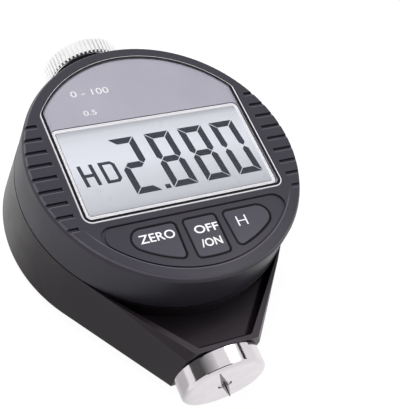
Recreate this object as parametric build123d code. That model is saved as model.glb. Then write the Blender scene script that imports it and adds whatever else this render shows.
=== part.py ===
from build123d import *
import math
import os

# A pocket hardness tester with a round digital head on a tapered neck.
# Millimetres. The origin is where the measuring axis meets the presser foot's
# face. +Y runs up the measuring axis, +Z comes out of the display.

# Fits
running_clearance = 0.04
thread_clearance = 0.02
moulded_gap = 0.15
stop_gap = 0.05
cut_margin = 1.0
chamfer_angle = 45

# Presser foot, on the standard 18 mm disc with a 3 mm hole
foot_diameter = 18.0
foot_thickness = 4.7
foot_edge_radius = 0.9
foot_rear_chamfer = 0.3
foot_hole_diameter = 3.0
foot_face_wall = 1.5
foot_stem_radius = 4.0
foot_stem_length = 7.7
foot_chamber_radius = 2.6
foot_radius = foot_diameter / 2
stem_end_y = foot_thickness + foot_stem_length
lock_screw_y = foot_thickness + foot_stem_length / 2
lock_screw_z = -foot_stem_radius

# Indenter: a shank with a 30 degree cone, 2.5 mm proud of the foot
indenter_travel = 2.5
indenter_shank_radius = 0.625
indenter_cone_half_angle = 15.0
indenter_tip_radius = 0.1
indenter_seat_depth = 5.0

# Head and housing
head_y = 43.4
face_radius = 28.5
shoulder_radius = 29.0
shoulder_drop = 1.1
cover_radius = 29.15
body_top_radius = 29.2
body_back_growth = 0.5
face_z = 18.65
parting_z = 8.1
back_z = -6.1
cover_wall = 2.0
cover_top_wall = 3.2
body_wall = 2.2
floor_thickness = 2.65
lip_height = 1.2
lip_thickness = 0.85
seam_chamfer = 0.25
face_edge_radius = 0.35
back_edge_radius = 0.8
under_z = face_z - cover_top_wall
post_top_z = face_z - cover_top_wall / 2
floor_z = back_z + floor_thickness
cover_inner_radius = cover_radius - cover_wall
lip_outer_radius = cover_inner_radius + lip_thickness
cavity_radius = body_top_radius - body_wall
body_back_radius = body_top_radius + body_back_growth

# Neck
neck_end_width = 16.3
neck_back_growth = 0.25
neck_bevel_drop = 2.4
neck_bevel_inset = 1.2
neck_bevel_length = 19.0
recess_rim = 1.0
recess_corner_half_width = 5.9
recess_horn_angle = 44.0
recess_head_gap = 0.2
recess_head_depth = 2.8
recess_foot_depth = 1.7
recess_floor_radius = 1.2
recess_corner_radius = 1.3

# Spindle and measuring spring
spindle_radius = 2.0
spindle_foot_gap = 0.7
spindle_end_gap = 0.7
bush_wall = 1.0
lower_bush_length = 5.9
upper_bush_length = 4.5
upper_bush_inset = 6.4
bridge_width = 10.0
bridge_rise = 1.4
collar_radius = 3.7
collar_length = 2.0
spring_wire_radius = 0.575
spring_mean_radius = 3.1
spring_turns = 4.5
spring_length = 9.9
adjuster_radius = 4.2
adjuster_bore_radius = 2.4
adjuster_length = 3.0
adjuster_slot_width = 0.8
adjuster_slot_depth = 0.6
bracket_wall = 1.9
bracket_length = 3.3
lower_bush_y = stem_end_y - lower_bush_length
upper_bush_y = head_y + cavity_radius - upper_bush_inset
collar_y = stem_end_y + stop_gap
spring_y = collar_y + collar_length
adjuster_y = spring_y + spring_length
bush_outer_radius = spindle_radius + bush_wall
spindle_start_y = foot_face_wall + spindle_foot_gap
spindle_end_y = upper_bush_y + upper_bush_length + spindle_end_gap

# Scale carrier, guide and sensor
carrier_width = 10.0
carrier_length = 13.0
carrier_below_axis = 2.7
carrier_above_axis = 3.0
carrier_y = 37.5
scale_thickness = 0.8
scale_width = 8.0
sensor_air_gap = 0.3
board_thickness = 1.0
sensor_width = 24.0
sensor_length = 31.0
sensor_y = 29.4
sensor_post_radius = 1.9
sensor_post_inset = 2.2
guide_pin_radius = 0.75
guide_pin_reach = 3.2
guide_rail_gap = 1.0
guide_rail_width = 2.8
guide_rail_height_over_axis = 2.6
guide_rail_end_wall = 3.0
carrier_screw_radius = 0.8
carrier_screw_spacing = 7.0
carrier_top_z = carrier_above_axis
sensor_z = carrier_top_z + scale_thickness + sensor_air_gap
carrier_mid_y = carrier_y + carrier_length / 2

# Screws
screw_radius = 0.95
screw_hole_radius = 1.1
screw_head_radius = 1.8
screw_head_height = 1.3
screw_slot_width = 0.55
screw_slot_depth = 0.45
screw_end_gap = 0.6
lock_screw_depth = 0.25
cover_screw_inset = 2.05
cover_screw_upper_angle = 41.0
cover_screw_lower_angle = 33.0
cover_screw_head_recess = 1.6
cover_screw_bite = 4.0
boss_radius = 2.2
small_screw_radius = 0.7
small_screw_head_radius = 1.35
small_screw_head_height = 0.8
standoff_radius = 1.5
small_screw_bite = 2.6
cover_screw_circle = cover_inner_radius - cover_screw_inset

# Rear cover and battery compartment
knob_radius = 9.2
rest_clearance = 0.1
rear_cover_radius = 22.0
rear_cover_edge = 0.6
rear_screw_circle = 18.0
rear_boss_radius = 2.3
rear_boss_height = 3.0
battery_radius = 10.0
battery_thickness = 3.2
battery_side_gap = 0.6
battery_end_gap = 0.1
battery_edge_chamfer = 0.4
cap_radius = 12.6
cap_flange = 0.95
cap_edge_chamfer = 0.3
cap_skirt_wall = 0.85
cap_skirt_length = 1.7
cap_seal_thickness = 0.4
cap_slot_width = 1.7
cap_slot_length = 15.0
cap_slot_depth = 0.55
cap_slot_corner_radius = 0.7
bayonet_reach = 0.95
bayonet_tab_height = 0.7
bayonet_tab_angle = 30.0
bayonet_entry_angle = 38.0
bayonet_turn = 60.0
bayonet_count = 3
bayonet_gap = 0.1
contact_thickness = 0.25
contact_width = 5.0
contact_corner_radius = 1.6
contact_dimple_radius = 1.4
contact_clip_angle = 24.0
spigot_height = 0.5
spigot_wall = 1.6
rear_face_z = -(max(foot_radius, knob_radius) + rest_clearance)
pocket_radius = battery_radius + battery_side_gap
cap_inner_z = rear_face_z + cap_flange
cap_seat_z = cap_inner_z + cap_seal_thickness + stop_gap
skirt_outer_radius = pocket_radius + cap_skirt_wall
skirt_hole_radius = skirt_outer_radius + moulded_gap
tab_radius = skirt_outer_radius + bayonet_reach
tab_groove_radius = tab_radius + moulded_gap
tab_top_z = cap_inner_z + cap_skirt_length
tab_bottom_z = tab_top_z - bayonet_tab_height
battery_z = cap_inner_z + battery_end_gap
battery_top_z = battery_z + battery_thickness
pocket_roof_z = battery_top_z + battery_end_gap + contact_thickness
spigot_radius = pocket_radius + spigot_wall

# Window and display
window_side_inset = 4.85
window_arc_inset = 0.55
window_keypad_gap = 1.3
window_corner_radius = 2.0
window_gap = 0.06
lens_thickness = 0.5
lens_inset = 0.05
lens_chamfer = 0.15
mask_thickness = 0.08
frame_side_gap = 1.0
frame_lower_gap = 1.2
frame_top = 10.7
frame_band = 0.85
frame_corner_radius = 1.3
frame_clearance = 0.15
frame_lip_drop = 0.02
display_thickness = 1.9
reflector_thickness = 0.3
zebra_width = 2.2
zebra_end_inset = 3.3
zebra_inset = 1.0
window_half_width = cover_inner_radius - window_side_inset
window_arc_radius = cover_inner_radius - window_arc_inset
frame_half_width = window_half_width - frame_side_gap
zebra_length = 2 * (frame_half_width - zebra_end_inset)
lens_top_z = face_z - lens_inset
lens_z = lens_top_z - lens_thickness
mask_z = lens_z - mask_thickness
frame_top_z = mask_z - frame_lip_drop
display_z = frame_top_z - frame_lip_drop - display_thickness
reflector_z = display_z - reflector_thickness

# Main board
board_gap_over_parting = 0.5
board_edge_gap = 0.8
board_screw_inset = 3.4
board_screw_upper_angle = 57.5
board_screw_side_angle = -9.5
chip_size = 9.0
chip_thickness = 1.4
chip_offset = (8.0, 6.0)
crystal_radius = 1.0
crystal_length = 6.0
capacitor_size = (2.0, 1.2, 1.0)
capacitor_pitch = 4.0
capacitor_count = 4
header_length = 12.0
header_width = 2.4
header_edge_gap = 1.2
board_screw_circle = cover_inner_radius - board_screw_inset
board_z = parting_z + board_gap_over_parting
board_top_z = board_z + board_thickness

# Keypad
keypad_depth = 0.15
keypad_inset = 0.85
keypad_height = 12.8
keypad_corner_radius = 2.4
keypad_groove_width = 0.35
keypad_groove_depth = 0.35
keypad_edge_chamfer = 0.1
key_row_offset = 0.5
key_arc_inset = 2.2
key_top_gap = 1.8
key_proud = 0.05
key_hole_gap = 0.22
key_travel = 0.6
key_flange = 0.55
key_flange_thickness = 0.8
key_flange_gap = 0.2
key_edge_radius = 0.25
side_key_inner_top = 5.4
side_key_inner_bottom = 5.8
side_key_tip_radius = 2.35
key_corner_radius = 0.9
centre_key_half_width = 3.45
centre_key_corner_radius = 0.7
key_stem_radius = 1.8
side_key_stem_inset = 2.1
side_key_stem_angle = 28.8
centre_key_stem_inset = 4.3
mat_thickness = 0.8
mat_inset = 1.3
dome_closed_height = 0.9
dome_base_radius = 2.6
dome_top_radius = 1.7
dome_height = dome_closed_height + key_travel
keypad_radius = cover_inner_radius - keypad_inset
keypad_top = keypad_height - keypad_radius
key_arc_radius = keypad_radius - key_arc_inset
key_top = keypad_top - key_top_gap
window_bottom = keypad_top + window_keypad_gap
frame_bottom = window_bottom + frame_lower_gap
keypad_z = face_z - keypad_depth
key_top_z = keypad_z + key_proud
key_flange_top_z = under_z - key_flange_gap
key_flange_z = key_flange_top_z - key_flange_thickness
mat_top_z = board_top_z + mat_thickness
dome_top_z = mat_top_z + dome_height
key_stem_z = dome_top_z + stop_gap

# Edge notches on the face
notch_count = 9
notch_pitch = 3.07
notch_width = 0.85
notch_depth = 0.5
notch_inner = 23.7
notch_row_offset = -0.4

# Top knob on its threaded stud
boss_end_radius = 5.2
knob_height = 4.4
knob_ribs = 56
knob_rib_depth = 0.4
knob_groove_share = 0.75
knob_edge_chamfer = 0.45
knob_lower_chamfer = 0.25
knob_cap_wall = 1.4
knob_relief_radius = 7.4
knob_relief_depth = 0.35
stud_radius = 3.0
stud_seat_depth = 4.0
stud_end_gap = 0.2
washer_radius = 8.2
washer_thickness = 0.8
head_to_washer = 6.15
washer_y = head_y + body_back_radius + head_to_washer
knob_y = washer_y + washer_thickness + stop_gap
stud_start_y = washer_y - stud_seat_depth
stud_end_y = knob_y + knob_height - knob_cap_wall - stud_end_gap


def at_head(shape):
    """Move a shape drawn about the head's centre to its place."""
    return Pos(0, head_y, 0) * shape


def rod_y(radius, start, end):
    """A round bar along the measuring axis."""
    return Pos(0, (start + end) / 2, 0) * Rot(90, 0, 0) * Cylinder(radius, end - start)


def post(radius, bottom, top, x=0.0, y=0.0):
    """A round bar along Z, placed from the head's centre."""
    return Pos(x, head_y + y, (bottom + top) / 2) * Cylinder(radius, top - bottom)


def slab(outline, bottom, top):
    """An outline drawn about the head's centre, given a thickness."""
    return at_head(extrude(Pos(0, 0, bottom) * outline, top - bottom))


def block(width, start_y, end_y, bottom, top, x=0.0):
    """A box centred on x, between two stations of the measuring axis."""
    centre = Pos(x, (start_y + end_y) / 2, (bottom + top) / 2)
    return centre * Box(width, end_y - start_y, top - bottom)


def ring_sector(inner, outer, angle, centre_angle):
    """A flat piece of a ring, drawn about the head's centre."""
    half = math.radians(angle / 2)
    reach = outer / math.cos(half) + cut_margin
    left = (reach * math.cos(half), reach * math.sin(half))
    right = (reach * math.cos(half), -reach * math.sin(half))
    wedge = make_face(Polyline((0, 0), right, left, close=True))
    return Rot(0, 0, centre_angle) * ((Circle(outer) - Circle(inner)) & wedge)


def four_corners(x, y):
    """The same point in each of the four quarters."""
    return [(x, y), (-x, y), (-x, -y), (x, -y)]


def mirrored_places(radius, *angles):
    """Points at both sides of a circle about the head's centre, at angles from its X axis."""
    places = []
    for angle in angles:
        x = radius * math.cos(math.radians(angle))
        y = radius * math.sin(math.radians(angle))
        places += [(x, y), (-x, y)]
    return places


def cover_screw_places():
    """Centres of the screws that hold the front cover, from the head's centre."""
    return mirrored_places(cover_screw_circle, cover_screw_upper_angle, -cover_screw_lower_angle)


def rear_screw_places():
    """Centres of the rear cover's screws, from the head's centre."""
    side = rear_screw_circle / math.sqrt(2)
    return four_corners(side, side)


def board_screw_places():
    """Centres of the main board's screws, from the head's centre."""
    return mirrored_places(board_screw_circle, board_screw_upper_angle, board_screw_side_angle)


def sensor_post_places():
    """Centres of the sensor board's posts, from the head's centre."""
    x = sensor_width / 2 - sensor_post_inset
    near = sensor_y + sensor_post_inset - head_y
    far = sensor_y + sensor_length - sensor_post_inset - head_y
    return [(x, near), (-x, near), (x, far), (-x, far)]


def slotted_screw(shank_radius, head_radius, head_height, shank_length):
    """A screw with its head's face at z 0, pointing up."""
    head = Pos(0, 0, head_height / 2) * Cylinder(head_radius, head_height)
    shank = Pos(0, 0, head_height + shank_length / 2) * Cylinder(shank_radius, shank_length)
    slot = Box(2 * head_radius + cut_margin, screw_slot_width, screw_slot_depth)
    return head + shank - Pos(0, 0, screw_slot_depth / 2) * slot


def teardrop(radius, half_end):
    """The housing's plan: the head's circle with flanks tangent to it, down to the neck's end."""
    drop = head_y - foot_thickness
    reach = math.hypot(half_end, drop)
    angle = math.atan2(half_end, drop) + math.acos(radius / reach)
    tangent_x = radius * math.sin(angle)
    tangent_y = -radius * math.cos(angle)
    end_y = -drop
    edge = Line((-half_end, end_y), (half_end, end_y))
    edge += Line((half_end, end_y), (tangent_x, tangent_y))
    edge += ThreePointArc((tangent_x, tangent_y), (0, radius), (-tangent_x, tangent_y))
    edge += Line((-tangent_x, tangent_y), (-half_end, end_y))
    return make_face(edge)


def window_outline(inset):
    """The window: a rectangle whose top is an arc beside the face's edge."""
    bottom = window_bottom + inset
    middle = (window_arc_radius + bottom) / 2
    sheet = Pos(0, middle) * Rectangle(2 * (window_half_width - inset), window_arc_radius - bottom)
    outline = Circle(window_arc_radius - inset) & sheet
    return fillet(outline.vertices(), window_corner_radius - inset)


def frame_outline(growth):
    """The display frame's rounded rectangle."""
    width = 2 * (frame_half_width + growth)
    height = frame_top - frame_bottom + 2 * growth
    middle = (frame_top + frame_bottom) / 2
    return Pos(0, middle) * RectangleRounded(width, height, frame_corner_radius + growth)


def keypad_outline(inset):
    """The lens-shaped field that the keys stand in."""
    radius = keypad_radius - inset
    top = keypad_top - inset
    below = Pos(0, top - radius) * Rectangle(2 * radius, 2 * radius)
    outline = Circle(radius) & below
    return fillet(outline.vertices(), keypad_corner_radius)


def side_key_outline(growth):
    """The right-hand key: a straight top, a leaning inner side and an arc."""
    radius = key_arc_radius + growth
    top = key_top + growth
    inner_top = (side_key_inner_top - growth, top)
    inner_bottom = (side_key_inner_bottom - growth, -radius)
    wedge = make_face(Polyline(inner_top, (radius, top), (radius, -radius), inner_bottom, close=True))
    outline = Circle(radius) & wedge
    outline = fillet(outline.vertices().sort_by(Axis.X)[-1], side_key_tip_radius + growth)
    return fillet(outline.vertices().sort_by(Axis.X)[:2], key_corner_radius + growth)


def centre_key_outline(growth):
    """The middle key: upright sides and the same arc below."""
    radius = key_arc_radius + growth
    top = key_top + growth
    middle = (top - radius) / 2
    sheet = Pos(0, middle) * Rectangle(2 * (centre_key_half_width + growth), top + radius)
    outline = Circle(radius) & sheet
    return fillet(outline.vertices(), centre_key_corner_radius + growth)


def key_outlines(growth):
    """The three keys' outlines, from left to right."""
    right = side_key_outline(growth)
    outlines = [mirror(right, Plane.YZ), centre_key_outline(growth), right]
    return [Pos(key_row_offset, 0) * outline for outline in outlines]


def key_stem_places():
    """Centres of the three keys' stems, from left to right."""
    circle = key_arc_radius - side_key_stem_inset
    side_x = circle * math.sin(math.radians(side_key_stem_angle))
    side_y = -circle * math.cos(math.radians(side_key_stem_angle))
    centre = (key_row_offset, centre_key_stem_inset - key_arc_radius)
    return [(key_row_offset - side_x, side_y), centre, (key_row_offset + side_x, side_y)]


def presser_foot():
    profile = Polyline(
        (foot_hole_diameter / 2, 0),
        (foot_radius, 0),
        (foot_radius, foot_thickness),
        (foot_stem_radius, foot_thickness),
        (foot_stem_radius, stem_end_y),
        (bush_outer_radius + thread_clearance, stem_end_y),
        (bush_outer_radius + thread_clearance, lower_bush_y),
        (foot_chamber_radius, lower_bush_y),
        (foot_chamber_radius, foot_face_wall),
        (foot_hole_diameter / 2, foot_face_wall),
        close=True,
    )
    foot = revolve(make_face(profile), Axis.Y)
    foot = fillet(foot_rims(foot)[0], foot_edge_radius)
    return chamfer(foot_rims(foot)[-1], foot_rear_chamfer)


def foot_rims(foot):
    """The disc's outer edges, from the face to the back."""
    circles = foot.edges().filter_by(GeomType.CIRCLE)
    rims = circles.filter_by(lambda edge: abs(edge.radius - foot_radius) < stop_gap)
    return rims.sort_by(Axis.Y)


def foot_lock_screw():
    """The grub screw that stops the foot's thread from turning."""
    face = back_z + lock_screw_depth
    screw = post(screw_radius, face, lock_screw_z - thread_clearance, 0, lock_screw_y - head_y)
    slot = Box(2 * screw_radius + cut_margin, screw_slot_width, screw_slot_depth)
    return screw - Pos(0, lock_screw_y, face + screw_slot_depth / 2) * slot


def indenter():
    taper = math.tan(math.radians(indenter_cone_half_angle))
    shank_start = (indenter_shank_radius - indenter_tip_radius) / taper - indenter_travel
    profile = Polyline(
        (0, -indenter_travel),
        (indenter_tip_radius, -indenter_travel),
        (indenter_shank_radius, shank_start),
        (indenter_shank_radius, spindle_start_y + indenter_seat_depth),
        (0, spindle_start_y + indenter_seat_depth),
        close=True,
    )
    return revolve(make_face(profile), Axis.Y)


def spindle():
    bar = rod_y(spindle_radius, spindle_start_y, spindle_end_y)
    seat = rod_y(
        indenter_shank_radius + thread_clearance,
        spindle_start_y - cut_margin,
        spindle_start_y + indenter_seat_depth + thread_clearance,
    )
    return bar - seat


def bush(start, length):
    outer = rod_y(bush_outer_radius, start, start + length)
    return outer - rod_y(spindle_radius + running_clearance, start - cut_margin, start + length + cut_margin)


def spring_collar():
    ring = rod_y(collar_radius, collar_y, collar_y + collar_length)
    return ring - rod_y(spindle_radius + thread_clearance, collar_y - cut_margin, spring_y + cut_margin)


def measuring_spring():
    """The coil between the spindle's collar and the adjuster, with its wire's ends inside them."""
    coil_height = spring_length - 2 * (spring_wire_radius + stop_gap)
    path = Helix(coil_height / spring_turns, coil_height, spring_mean_radius)
    start = path @ 0
    section = Plane(origin=start, z_dir=path % 0) * Circle(spring_wire_radius)
    coil = sweep(section, path=path, is_frenet=True)
    return Pos(0, spring_y + spring_wire_radius + stop_gap, 0) * Rot(-90, 0, 0) * coil


def spring_adjuster():
    """The slotted ring nut that sets the spring's length."""
    end_y = adjuster_y + adjuster_length
    ring = rod_y(adjuster_radius, adjuster_y, end_y)
    ring -= rod_y(adjuster_bore_radius, adjuster_y - cut_margin, end_y + cut_margin)
    return ring - block(2 * adjuster_radius + cut_margin, end_y - adjuster_slot_depth, end_y + cut_margin,
                        -adjuster_slot_width / 2, adjuster_slot_width / 2)


def scale_carrier():
    end_y = carrier_y + carrier_length
    body = block(carrier_width, carrier_y, end_y, -carrier_below_axis, carrier_top_z)
    body -= rod_y(spindle_radius + thread_clearance, carrier_y - cut_margin, end_y + cut_margin)
    for y in carrier_screw_stations():
        body -= Pos(-carrier_width / 4, y, 0) * Rot(0, 90, 0) * Cylinder(
            carrier_screw_radius + thread_clearance, carrier_width / 2)
    pin_hole = Pos(carrier_width / 4, carrier_mid_y, 0) * Rot(0, 90, 0)
    return body - pin_hole * Cylinder(guide_pin_radius + thread_clearance, carrier_width / 2)


def carrier_screw_stations():
    """Where the carrier's two set screws sit along the spindle."""
    return [carrier_mid_y - carrier_screw_spacing / 2, carrier_mid_y + carrier_screw_spacing / 2]


def carrier_screws():
    inner = spindle_radius + thread_clearance
    length = carrier_width / 2 - inner
    screws = []
    for y in carrier_screw_stations():
        screws.append(Pos(-inner - length / 2, y, 0) * Rot(0, 90, 0) * Cylinder(carrier_screw_radius, length))
    return Compound(screws)


def scale_strip():
    end_y = carrier_y + carrier_length
    return block(scale_width, carrier_y, end_y, carrier_top_z, carrier_top_z + scale_thickness)


def guide_pin():
    inner = spindle_radius + thread_clearance
    length = carrier_width / 2 + guide_pin_reach - inner
    return Pos(inner + length / 2, carrier_mid_y, 0) * Rot(0, 90, 0) * Cylinder(guide_pin_radius, length)


def guide_rail():
    """The slotted rail that keeps the spindle from turning."""
    half_slot = guide_pin_radius + running_clearance
    slot_start = carrier_mid_y - half_slot - stop_gap
    slot_end = carrier_mid_y + indenter_travel + half_slot + stop_gap
    x = carrier_width / 2 + guide_rail_gap + guide_rail_width / 2
    rail = block(guide_rail_width, slot_start - guide_rail_end_wall, slot_end + guide_rail_end_wall,
                 floor_z, guide_rail_height_over_axis, x)
    return rail - block(guide_rail_width + cut_margin, slot_start, slot_end, -half_slot, half_slot, x)


def sensor_board():
    board = block(sensor_width, sensor_y, sensor_y + sensor_length, sensor_z, sensor_z + board_thickness)
    for x, y in sensor_post_places():
        board -= post(small_screw_radius + moulded_gap, sensor_z - cut_margin, board_z, x, y)
    return board


def small_screws(places, board_face, points_up):
    """Screws through a board into the posts behind it."""
    screw = slotted_screw(small_screw_radius, small_screw_head_radius, small_screw_head_height,
                          board_thickness + small_screw_bite)
    turn = Rot(0, 0, 0) if points_up else Rot(180, 0, 0)
    face = board_face - small_screw_head_height if points_up else board_face + small_screw_head_height
    return Compound([Pos(x, head_y + y, face) * turn * screw for x, y in places])


def rear_body():
    """The lower housing: a drafted tub for the head, drawn out into the neck."""
    half_end = neck_end_width / 2
    back = at_head(Pos(0, 0, back_z) * teardrop(body_back_radius, half_end + neck_back_growth))
    top = at_head(Pos(0, 0, parting_z) * teardrop(body_top_radius, half_end))
    body = loft([back, top], ruled=True)
    body = fillet(body.edges().group_by(Axis.Z)[0], back_edge_radius)
    for side in (1, -1):
        body -= neck_bevel(side)
    body -= neck_recess()
    body = body + rod_y(boss_end_radius, head_y + cavity_radius, washer_y - stop_gap)
    body -= post(cavity_radius, floor_z, parting_z + cut_margin)
    for x, y in cover_screw_places():
        body += post(boss_radius, floor_z, parting_z, x, y)
    for x, y in rear_screw_places():
        body += post(rear_boss_radius, floor_z, floor_z + rear_boss_height, x, y)
    for x, y in sensor_post_places():
        body += post(sensor_post_radius, floor_z, sensor_z, x, y)
    body += bearing_bridge(upper_bush_y, upper_bush_length, bush_outer_radius)
    body += bearing_bridge(adjuster_y, bracket_length, adjuster_radius)
    body -= rod_y(bush_outer_radius + thread_clearance, upper_bush_y - cut_margin,
                  upper_bush_y + upper_bush_length + cut_margin)
    body -= rod_y(adjuster_radius + thread_clearance, adjuster_y - cut_margin,
                  adjuster_y + bracket_length + cut_margin)
    body -= rod_y(foot_stem_radius + thread_clearance, foot_thickness - cut_margin,
                  adjuster_y + cut_margin)
    body -= rod_y(spindle_radius + moulded_gap, head_y, spindle_end_y + indenter_travel + spindle_end_gap)
    body -= rod_y(stud_radius + thread_clearance, stud_start_y, washer_y + cut_margin)
    lip_floor = parting_z - lip_height - stop_gap
    seat = post(lip_outer_radius + stop_gap, lip_floor, parting_z + cut_margin)
    body -= seat - post(cavity_radius, lip_floor - cut_margin, parting_z + 2 * cut_margin)
    for x, y in cover_screw_places():
        body -= post(screw_hole_radius, back_z - cut_margin, parting_z + cut_margin, x, y)
        body -= post(screw_head_radius + moulded_gap, back_z - cut_margin,
                     back_z + cover_screw_head_recess, x, y)
    for x, y in rear_screw_places():
        body -= post(screw_radius + thread_clearance, back_z - cut_margin,
                     floor_z + rear_boss_height - screw_end_gap, x, y)
    for x, y in sensor_post_places():
        body -= post(small_screw_radius + thread_clearance, sensor_z - small_screw_bite - screw_end_gap,
                     sensor_z + cut_margin, x, y)
    body -= post(spigot_radius + moulded_gap, back_z - cut_margin, back_z + spigot_height + stop_gap)
    body -= post(pocket_radius, back_z - cut_margin, pocket_roof_z)
    return body - post(screw_radius + thread_clearance, back_z - cut_margin, lock_screw_z + cut_margin,
                       0, lock_screw_y - head_y)


def bearing_bridge(start, length, bore_radius):
    """An upright wall on the floor that carries a ring round the spindle."""
    top = bore_radius + bridge_rise
    width = max(bridge_width, 2 * (bore_radius + bracket_wall))
    wall = block(width, start, start + length, floor_z - cut_margin, top)
    edges = wall.edges().filter_by(Axis.Y).group_by(Axis.Z)[-1]
    return fillet(edges, bracket_wall)


def neck_bevel(side):
    """The bevel between a flank and the rim, which widens from nothing towards the foot."""
    half_end = neck_end_width / 2
    drop = head_y - foot_thickness
    reach = math.hypot(half_end, drop)
    lean = math.pi / 2 - math.atan2(half_end, drop) - math.acos(body_top_radius / reach)
    head_end = Vector(
        side * (half_end + neck_bevel_length * math.sin(lean)),
        foot_thickness + neck_bevel_length * math.cos(lean),
        parting_z,
    )
    rim_end = Vector(side * (half_end - neck_bevel_inset), foot_thickness, parting_z)
    wall_end = Vector(side * half_end, foot_thickness, parting_z - neck_bevel_drop)
    along = head_end - rim_end
    outward = along.cross(wall_end - rim_end).normalized()
    if outward.Z < 0:
        outward = -outward
    size = 2 * neck_bevel_length
    bevel_plane = Plane(origin=rim_end, x_dir=along, z_dir=outward)
    return bevel_plane * Pos(0, 0, neck_bevel_length / 2) * Box(size, size, neck_bevel_length)


def neck_recess():
    """The scooped field between the neck's rims, deepest beside the head."""
    circle_radius = body_top_radius + recess_head_gap
    horn = math.radians(recess_horn_angle)
    horn_x = circle_radius * math.sin(horn)
    horn_y = -circle_radius * math.cos(horn)
    foot_y = foot_thickness + recess_rim - head_y
    corner = recess_corner_half_width
    field = make_face(Polyline(
        (-corner, foot_y),
        (corner, foot_y),
        (horn_x, horn_y),
        (0, 0),
        (-horn_x, horn_y),
        close=True,
    ))
    field = fillet(field.vertices().group_by(Axis.Y)[0], recess_corner_radius)
    field = field - Circle(circle_radius)
    tall = at_head(extrude(Pos(0, 0, back_z) * field, parting_z + cut_margin - back_z))
    near = Vector(0, foot_thickness, parting_z - recess_foot_depth)
    far = Vector(0, head_y - circle_radius, parting_z - recess_head_depth)
    slope = math.degrees(math.atan2(near.Z - far.Z, far.Y - near.Y))
    height = parting_z - back_z
    above = Pos(near.X, near.Y, near.Z) * Rot(-slope, 0, 0) * Pos(0, 0, height / 2)
    scoop = tall & (above * Box(2 * head_y, 2 * head_y, height))
    floor = scoop.faces().sort_by(lambda face: face.normal_at().Z)[0]
    all_but_head_arc = floor.edges().sort_by(SortBy.LENGTH)[:-1]
    return fillet(all_but_head_arc, recess_floor_radius)


def front_cover():
    """The upper housing: a cup with the window, the keypad field and the edge notches."""
    profile = Polyline(
        (0, under_z),
        (0, face_z),
        (face_radius, face_z),
        (shoulder_radius, face_z - shoulder_drop),
        (cover_radius, parting_z + seam_chamfer),
        (cover_radius - seam_chamfer, parting_z),
        (lip_outer_radius, parting_z),
        (lip_outer_radius, parting_z - lip_height),
        (cover_inner_radius, parting_z - lip_height),
        (cover_inner_radius, under_z),
        close=True,
    )
    cup = revolve(Plane.XZ * make_face(profile), Axis.Z)
    rims = cup.edges().filter_by(GeomType.CIRCLE).group_by(Axis.Z)
    cup = fillet(rims[-1] + rims[-2], face_edge_radius)
    cup = at_head(cup)
    for x, y in cover_screw_places():
        boss = post(boss_radius, parting_z, post_top_z, x, y)
        cup += boss & post(cover_inner_radius + stop_gap, parting_z, face_z)
    for x, y in board_screw_places():
        cup += post(standoff_radius, board_top_z, post_top_z, x, y)
    cup -= slab(window_outline(0), mask_z, face_z + cut_margin)
    cup -= slab(frame_outline(frame_clearance), under_z - cut_margin, face_z)
    cup -= slab(keypad_outline(0), keypad_z, face_z + cut_margin)
    cup -= at_head(extrude(Pos(0, 0, face_z - keypad_edge_chamfer) * keypad_outline(0),
                           keypad_edge_chamfer, taper=-chamfer_angle))
    groove = keypad_outline(0) - keypad_outline(keypad_groove_width)
    cup -= slab(groove, keypad_z - keypad_groove_depth, face_z)
    for outline in key_outlines(key_hole_gap):
        cup -= slab(outline, under_z - cut_margin, face_z)
    for x, y in cover_screw_places():
        cup -= post(screw_radius + thread_clearance, parting_z - cut_margin,
                    parting_z + cover_screw_bite + screw_end_gap, x, y)
    for x, y in board_screw_places():
        cup -= post(small_screw_radius + thread_clearance, board_top_z - cut_margin,
                    board_top_z + small_screw_bite + screw_end_gap, x, y)
    return cup - edge_notches()


def edge_notches():
    """The rows of short grooves at both sides of the face."""
    length = cover_radius - notch_inner + cut_margin
    depth = notch_depth + cut_margin
    notches = []
    for index in range(notch_count):
        y = head_y + notch_row_offset + (index - (notch_count - 1) / 2) * notch_pitch
        for side in (1, -1):
            centre = Pos(side * (notch_inner + length / 2), y, face_z - notch_depth + depth / 2)
            notches.append(centre * Box(length, notch_width, depth))
    return notches


def front_cover_screws():
    head_z = back_z + cover_screw_head_recess - screw_head_height
    length = parting_z + cover_screw_bite - head_z - screw_head_height
    screw = slotted_screw(screw_radius, screw_head_radius, screw_head_height, length)
    return Compound([Pos(x, head_y + y, head_z) * screw for x, y in cover_screw_places()])


def rear_cover():
    """The raised back plate with the battery's bayonet opening."""
    plate = post(rear_cover_radius, rear_face_z, back_z)
    plate = chamfer(plate.edges().group_by(Axis.Z)[0], rear_cover_edge)
    plate += post(spigot_radius, back_z - cut_margin, back_z + spigot_height)
    plate -= post(cap_radius + moulded_gap, rear_face_z - cut_margin, cap_seat_z)
    opening = Circle(skirt_hole_radius)
    for index in range(bayonet_count):
        opening += ring_sector(pocket_radius, tab_groove_radius + bayonet_gap, bayonet_entry_angle,
                               bayonet_turn + index * 360 / bayonet_count)
    plate -= slab(opening, cap_seat_z - cut_margin, tab_top_z)
    plate -= post(skirt_hole_radius, tab_top_z - cut_margin, back_z + cut_margin)
    plate -= post(tab_groove_radius, tab_bottom_z - bayonet_gap, tab_top_z + bayonet_gap)
    for x, y in rear_screw_places():
        plate -= post(screw_hole_radius, rear_face_z - cut_margin, back_z + cut_margin, x, y)
        plate -= post(screw_head_radius + moulded_gap, rear_face_z - cut_margin,
                      rear_face_z + cover_screw_head_recess, x, y)
    return plate


def rear_cover_screws():
    head_z = rear_face_z + cover_screw_head_recess - screw_head_height
    length = floor_z + rear_boss_height - 2 * screw_end_gap - head_z - screw_head_height
    screw = slotted_screw(screw_radius, screw_head_radius, screw_head_height, length)
    return Compound([Pos(x, head_y + y, head_z) * screw for x, y in rear_screw_places()])


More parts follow.
